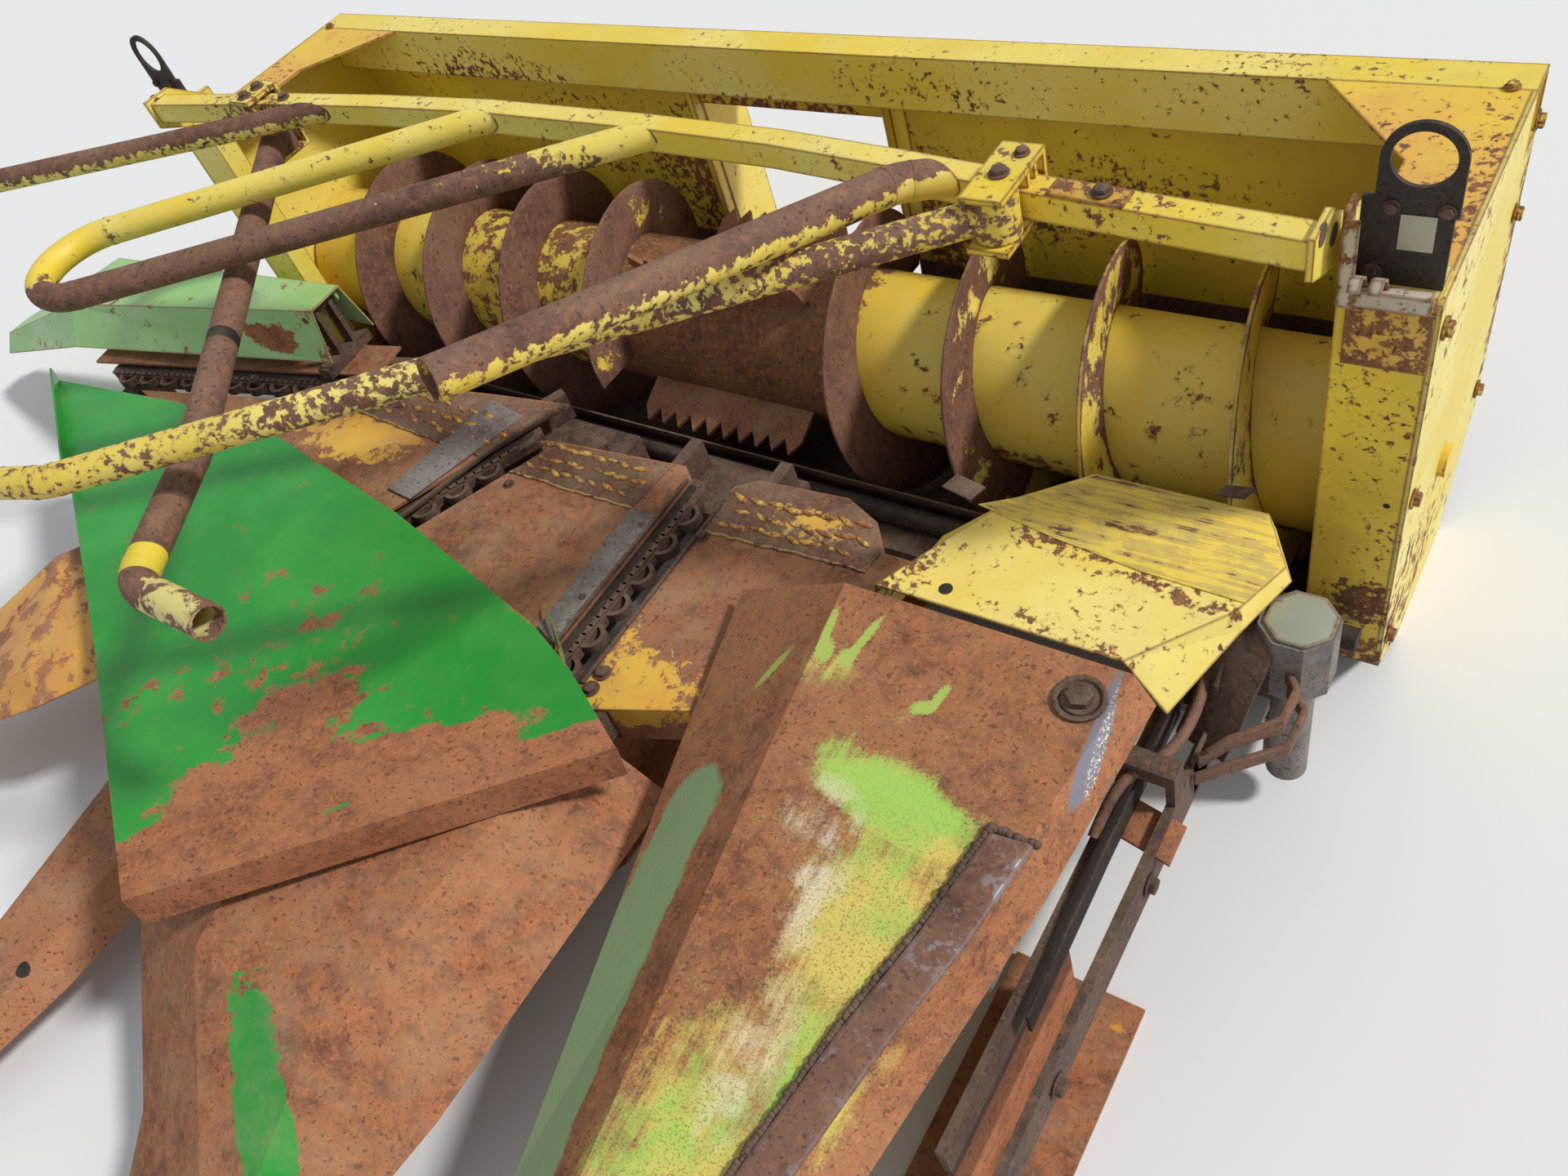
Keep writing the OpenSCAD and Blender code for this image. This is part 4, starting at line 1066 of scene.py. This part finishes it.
# %% The bar's weld
DROP = 0.0062
DROP_STEP = 5.5
drop = fresh(bpy.ops.mesh.primitive_ico_sphere_add, subdivisions=2, radius=1)
pick(drop, lambda face: face.normal.z > 0.5)
bpy.ops.transform.resize(value=(0.8, 0.8, 0.9))
close_edit()
random.seed(21)
welds = []
seam = [(998, -583, 434), (942, -585, 438), (917, -729, 421), (885, -860, 405), (858, -1010, 386),
        (828, -1170, 365)]
for start_at, end_at in zip(seam, seam[1:]):
    count = round(math.dist(start_at, end_at) / DROP_STEP)
    for k in range(count):
        share = k / count
        spot = [a + (b - a) * share + random.uniform(-1.2, 1.2) for a, b in zip(start_at, end_at)]
        welds.append((spot, UP, DROP * random.uniform(0.8, 1.2), 0))
finished("shoulder_weld", copies(drop, welds), "snout_right", old_rust_and_shade, 60)

# %% [markdown]
# **The cup for the snout's bolt.** The bolt sits in a pressed cup, so the stalks slide past it. A
# short cylinder's top is inset twice and pushed down, and the rim is bevelled round.

# %% The bolt's cup
cup = fresh(bpy.ops.mesh.primitive_cylinder_add, vertices=32, radius=0.034, depth=0.006)
pick(cup, lambda face: face.normal.z > 0.9)
bpy.ops.mesh.inset(thickness=0.006)
bpy.ops.mesh.inset(thickness=0.003)
bpy.ops.transform.translate(value=(0, 0, -0.0045))
close_edit()
softened(cup, 0.0012)
cups = copies(cup, [((963, -383, 439), (0.0, -0.05, 1), 1, 0)])
cups += copies(bolt, [((963, -383, 436), (0.03, -0.05, 1), 0.0175, 0.3)])
finished("bolt_cup", cups, "snout_right", old_rust_and_shade)

# %% [markdown]
# **The end cover's rear panel** is a second sheet that laps over the front one. Its paint comes off
# in long slivers along the sheet, like the grain of a plank, because the rolled steel rusts along
# its rolling lines. So its noise is stretched along one way.

# %% The lapped panel's paint
panel_paint, tree, shader, where, lift = start("panel paint", 0.5)
rust = rust_in(tree, where, "chip")
along = node(tree, "ShaderNodeMapping", (("Vector", where), ("Rotation", (0, 0, math.radians(7))),
                                         ("Scale", (9, 95, 9))))
grain = noise(tree, along.outputs[0], 1.0, 5, 0.65, 0.6)
flakes = noise(tree, where, 26, 5, 0.6)
peel = times(tree, flakes, 0.35, times(tree, grain, 0.65))
primer = ramp(tree, peel, 0.46, 0.54)
deep = ramp(tree, peel, 0.575, 0.61)
color = blend(tree, primer, srgb(240, 206, 84), srgb(204, 178, 92))
color = blend(tree, deep, color, rust.outputs["Color"])
sunk = times(tree, primer, 0.4, deep)
tree.links.new(maths(tree, "SUBTRACT", 1.0, sunk), lift.inputs["Height"])
dusted(tree, shader, where, color, times(tree, primer, 0.3, 0.45), 0.1)

# %% [markdown]
# The panel lies on the cover's top, and two short lips at its corners hold it down.

# %% The lapped panel and its brackets
COVER_TOP = 436
panel = level_plate([(697, -128), (833, -153), (958, -169), (1090, -174), (1114, -100), (1068, -24),
                     (832, -24), (742, -100)], COVER_TOP, 2.2)
finished("cover_panel", [panel], "header", panel_paint)
lips = [ribbon([(1000, -4, 441), (1040, -2, 446)], (10, 22, 0), 4),
        ribbon([(690, -112, 440), (640, -104, 444)], (10, 30, 0), 4)]
finished("cover_brackets", lips, "header", old_rust_and_shade)

# %% [markdown]
# **The right post's plates.** A bare plate stands on the lifting eye. Below it a folded bracket
# with two curled fins is bolted to the post through a rusty plate, beside the hinge's two strips.

# %% The right post's plates
EYE_FACE = 63.6
PLATE_FACE = 49.5


def post_sheet(left, right, low, high, face, thick, soft=SOFT):
    """An upright plate in front of the right post, between its left and right edge."""
    corners = [(left, face, high), (right, face, high), (right, face, low), (left, face, low)]
    return cut_plate(corners, -thick, soft)


label_paint = painted("label plate", srgb(168, 162, 138), srgb(186, 180, 156), wear=0.30, edge=0.0,
                      scale=90)
label = post_sheet(1162, 1198, 806, 850, EYE_FACE, 1.0, 0.0002)
finished("bare_label", [label], "header", label_paint)
rust_plate = painted("post plate paint", srgb(208, 158, 52), srgb(226, 184, 84), wear=0.55, scale=60)
post_plate = post_sheet(1121, 1214, 652, 738, PLATE_FACE, 5)
finished("post_plate", [post_plate], "header", rust_plate)

# %% [markdown]
# The bracket is one wide ribbon that bends over at its top, and each fin is a narrow one that curls
# back. Both have faded to a pale grey.

# %% The folded bracket and the hinge's strips
pale_rust = painted("pale bracket", srgb(196, 190, 170), srgb(176, 168, 140), wear=0.5, scale=44)
bracket = [ribbon([(1165, 44, 738), (1165, 44, 768), (1165, 26, 772)], (92, 0, 0), 4)]
for x in (1136, 1158):
    bracket.append(ribbon([(x, 38, 772), (x, 30, 790), (x, 14, 800), (x, 2, 788)], (14, 0, 0), 3))
finished("folded_bracket", bracket, "header", pale_rust)
strips = [upright(1118, 32, 758, 880, (0, 34, 0), 5), upright(1126, 14, 758, 872, (16, 0, 0), 3)]
finished("hinge_strips", strips, "header", pale_rust)

# %% [markdown]
# Bolts hold the saddles of the arms and the hinge's lugs to the push bar, and flat clamps lie
# under some of them. They fold up with the bar, so they ride on its body.

# %% Bolts and clamps of the push bar, bolts of the lifting eyes
places = [
    ((735, -10, 901), UP, 0.9), ((744, 34, 901), UP, 0.7), ((852, 12, 874), UP, 0.9),
    ((-817, 46, 882), UP, 0.9), ((-817, 14, 882), UP, 0.9), ((-740, 40, 870), UP, 0.8),
    ((1104, -8, 866), LEFT, 0.9), ((1104, 36, 836), LEFT, 0.9), ((-1104, -8, 866), RIGHT, 0.9)]
finished("bar_bolts", bolts(places), "push_bar", old_rust_and_shade)
clamps = [cut_plate([(785, 1, 869), (884, -9, 869), (886, 26, 869), (787, 36, 869)], 4),
          upright(-797, 4, 872, 826, (0, 8, 0), 8), upright(-780, 58, 872, 826, (0, 8, 0), 8)]
finished("bar_plates", clamps, "push_bar", rust_plate)
places = [((side * x, 63.5, z), FRONT, size) for side in (-1, 1)
          for x, z, size in ((1152, 858, 0.6), (1206, 858, 0.6), (1140, 772, 0.8))]
finished("eye_bolts", bolts(places), "header", old_rust_and_shade)

# %% [markdown]
# **The drive at the right end.** Round the small gearbox hang a guard of bent strap, a steady plate
# and a bent rod, all bare rusty steel. They are ribbons and round bars that end on the side frame
# or on the gearbox's column.

# %% Straps and plates by the gearbox
straps = [
    ribbon([(1152, -190, 340), (1172, -215, 338), (1168, -258, 326), (1112, -292, 296),
            (1084, -318, 272)], (0, 0, 26), 8, 0.0015),
    ribbon([(1152, -188, 306), (1184, -216, 302), (1180, -266, 288), (1120, -304, 262),
            (1084, -330, 248)], (0, 0, 22), 8, 0.0015)]
finished("drive_straps", straps, "header", tube_rust, 50)
steady = [cut_plate([(1080, -160, 200), (1080, -236, 200), (1080, -236, 330), (1080, -160, 380)], 6),
          cut_plate([(1080, -252, 190), (1080, -320, 190), (1080, -320, 268), (1080, -252, 268)], 6),
          level_plate([(1080, -186), (1136, -186), (1136, -160), (1080, -160)], 292, 6),
          ribbon([(1096, -152, 392), (1100, -196, 372), (1084, -240, 296), (1074, -282, 250)],
                 (72, -22, 0), 6)]
finished("drive_plates", steady, "header", old_rust_and_shade)

# %% [markdown]
# Along the side frame runs a dark blade, with a bent rod over it and a small plate out to the
# right. The gearbox wears a flat eight-sided cap, its corners worked out on a circle.

# %% The rod, the blade, the side plate and the gearbox's cap
CAP_RADIUS = 45
rod = round_bar([(1046, -190, 318), (1058, -205, 318), (1066, -300, 306), (1044, -362, 306),
                 (1010, -402, 306), (1006, -470, 268)], 8)
finished("bent_rod", [rod], "header", tube_rust, 60)
blade = ribbon([(1030, -240, 268), (1030, -480, 268), (1030, -720, 250)], (0, 0, 44), 5, 0.0015)
finished("side_blade", [blade], "header", oily_rust)
side_plate = ribbon([(1026, -414, 244), (1100, -428, 244)], (0, 60, 0), 6)
finished("side_plate", [side_plate], "header", snout_rust)
eighths = [math.radians(22.5 + 45 * k) for k in range(8)]
cap = level_plate([(1154 + CAP_RADIUS * math.cos(a), -150 + CAP_RADIUS * math.sin(a)) for a in eighths],
                  400, 5, 0.0015)
cap_paint = painted("cap paint", srgb(146, 152, 134), srgb(160, 164, 148), wear=0.40, edge=0.5, scale=40)
finished("gearbox_cap", [cap], "header", cap_paint)

# %% [markdown]
# **The hood's strap.** A thin green strap with a hooked end hangs from the loose hood's rear corner
# down to the deck, beside the right-hand chain.

# %% The hood's strap
strap_green = painted("strap green", GREEN, GREEN_FADED, wear=0.45, edge=0.4, scale=60)
hook = ribbon([(56, -462, 322), (84, -486, 322), (132, -522, 318), (150, -538, 308), (140, -548, 300)],
              (10, -12, 0), 4)
finished("hood_strap", [hook], "header", strap_green)

# %% [markdown]
# **Back-sheet angles.** Two folded angles stiffen the back sheet beside the feed opening, and
# upright ribs stiffen its rear face. Each is a pair of upright bars that meet in a corner.

# %% Angles and ribs of the back sheet
LOW = 300
HIGH = 655
angles = []
for side in (-1, 1):
    angles.append(upright(side * 232, 539, LOW, HIGH, (34, 0, 0), 4))
    angles.append(upright(side * 217, 528, LOW, HIGH, (0, 22, 0), 4))
finished("opening_angles", angles, "header", frame_yellow)
ribs = []
for x in (-1000, -620, 620, 1000):
    ribs.append(upright(x, 552, LOW, HIGH, (0, 16, 0), 5))
    ribs.append(upright(x + 12, 558, LOW, HIGH, (26, 0, 0), 4))
finished("rear_ribs", ribs, "header", frame_yellow)

# %% [markdown]
# **Chain links.** The gathering chains are roller chains: beside every lug sit two link plates with
# a pin. A small link is modelled once and set along both strands of each loop.

# %% Link plates on the chains
OPENINGS = (((-760, -130), -78, 900), ((-246, -105), -26, 620), ((158, -100), 0, 640))
LINK_STEP = 19
STRANDS = (-67, -23)
CHAIN_TOP = 286
link = fresh(bpy.ops.mesh.primitive_cylinder_add, vertices=8, radius=0.0065, depth=0.005,
             location=(0, 0, 0.0025))
pick(link, lambda face: face.normal.x > 0.5)
bpy.ops.mesh.extrude_region_move(TRANSFORM_OT_translate={"value": (0.011, 0, 0)})
close_edit()
bpy.ops.object.transform_apply(location=True, rotation=True, scale=True)
links = []
for (place_x, place_y), turn_deg, length in OPENINGS:
    t = math.radians(turn_deg)
    for k in range(int((length - 130) / LINK_STEP)):
        for off in STRANDS:
            y = length - 90 - k * LINK_STEP
            x_at = place_x + off * math.cos(t) + y * math.sin(t)
            y_at = place_y + off * math.sin(t) - y * math.cos(t)
            links.append(((x_at, y_at, CHAIN_TOP), UP, 1, t + math.pi / 2))
finished("chain_links", copies(link, links), "header", old_rust_and_shade, 40)

# %% [markdown]
# **Flights.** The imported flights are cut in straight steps. The real ones are rolled from one strip,
# so they are made again as a true helix: an upright edge and the Screw modifier, then a thickness.
# The rim is dented a little, as every worn flight's is.

# %% The auger's flights
PITCH = 0.225
TURNS = 3.9
STEPS = round(44 * TURNS)
FLIGHT_INNER = 0.1455
FLIGHT_OUTER = 0.2497
MIDDLE_GAP = 0.218
AXIS = at(0, 280, 295)


def flight_edge():
    """One upright edge, from the drum to the rim: half a plane, cut in four."""
    strip = fresh(bpy.ops.mesh.primitive_plane_add, size=1)
    for vertex, radius in zip(strip.data.vertices, (FLIGHT_INNER, FLIGHT_OUTER) * 2):
        vertex.co = (0, radius, 0)
    bpy.ops.object.mode_set(mode="EDIT")
    bpy.ops.mesh.select_mode(type="VERT")
    bpy.ops.mesh.select_all(action="DESELECT")
    mesh = bmesh.from_edit_mesh(strip.data)
    mesh.verts.ensure_lookup_table()
    for k in (0, 1):
        mesh.verts[k].select_set(True)
    bpy.ops.mesh.delete(type="VERT")
    bpy.ops.mesh.select_all(action="SELECT")
    bpy.ops.mesh.subdivide(number_cuts=3)
    bpy.ops.object.mode_set(mode="OBJECT")
    return strip


def flight(side):
    """One helix from the middle to an end; side is 1 to the right and -1 to the left."""
    strip = flight_edge()
    modified(strip, "SCREW", axis="X", angle=math.radians(360 * TURNS), screw_offset=PITCH * TURNS,
             steps=STEPS, render_steps=STEPS, use_normal_calculate=False)
    wave = random.Random(8 + side)
    bumps = [(wave.uniform(3, 9), wave.uniform(0, 6.28), wave.uniform(0.0006, 0.0016)) for _ in range(4)]
    for vertex in strip.data.vertices:
        radius = math.hypot(vertex.co.y, vertex.co.z)
        turn_at = vertex.co.x / PITCH * math.tau
        rim = max(0.0, (radius - 0.20) / 0.05)
        vertex.co.x += rim * sum(b * math.sin(f * turn_at / 2 + p) for f, p, b in bumps)
    modified(strip, "SOLIDIFY", thickness=0.0055, offset=0, use_even_offset=True)
    softened(strip, 0.0009, 1)
    strip.rotation_euler = (0, 0, 0) if side > 0 else (0, 0, math.pi)
    strip.location = AXIS + Vector((side * MIDDLE_GAP, 0, 0))
    return strip


flights = finished("rolled_flights", [flight(1), flight(-1)], "auger", flight_paint, 50)
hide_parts("auger_flights")

# %% [markdown]
# The masters that were copied are not part of the header, so they go.

# %% Clear up
for master in (bolt, bead, drop, cup, link):
    bpy.data.objects.remove(master)
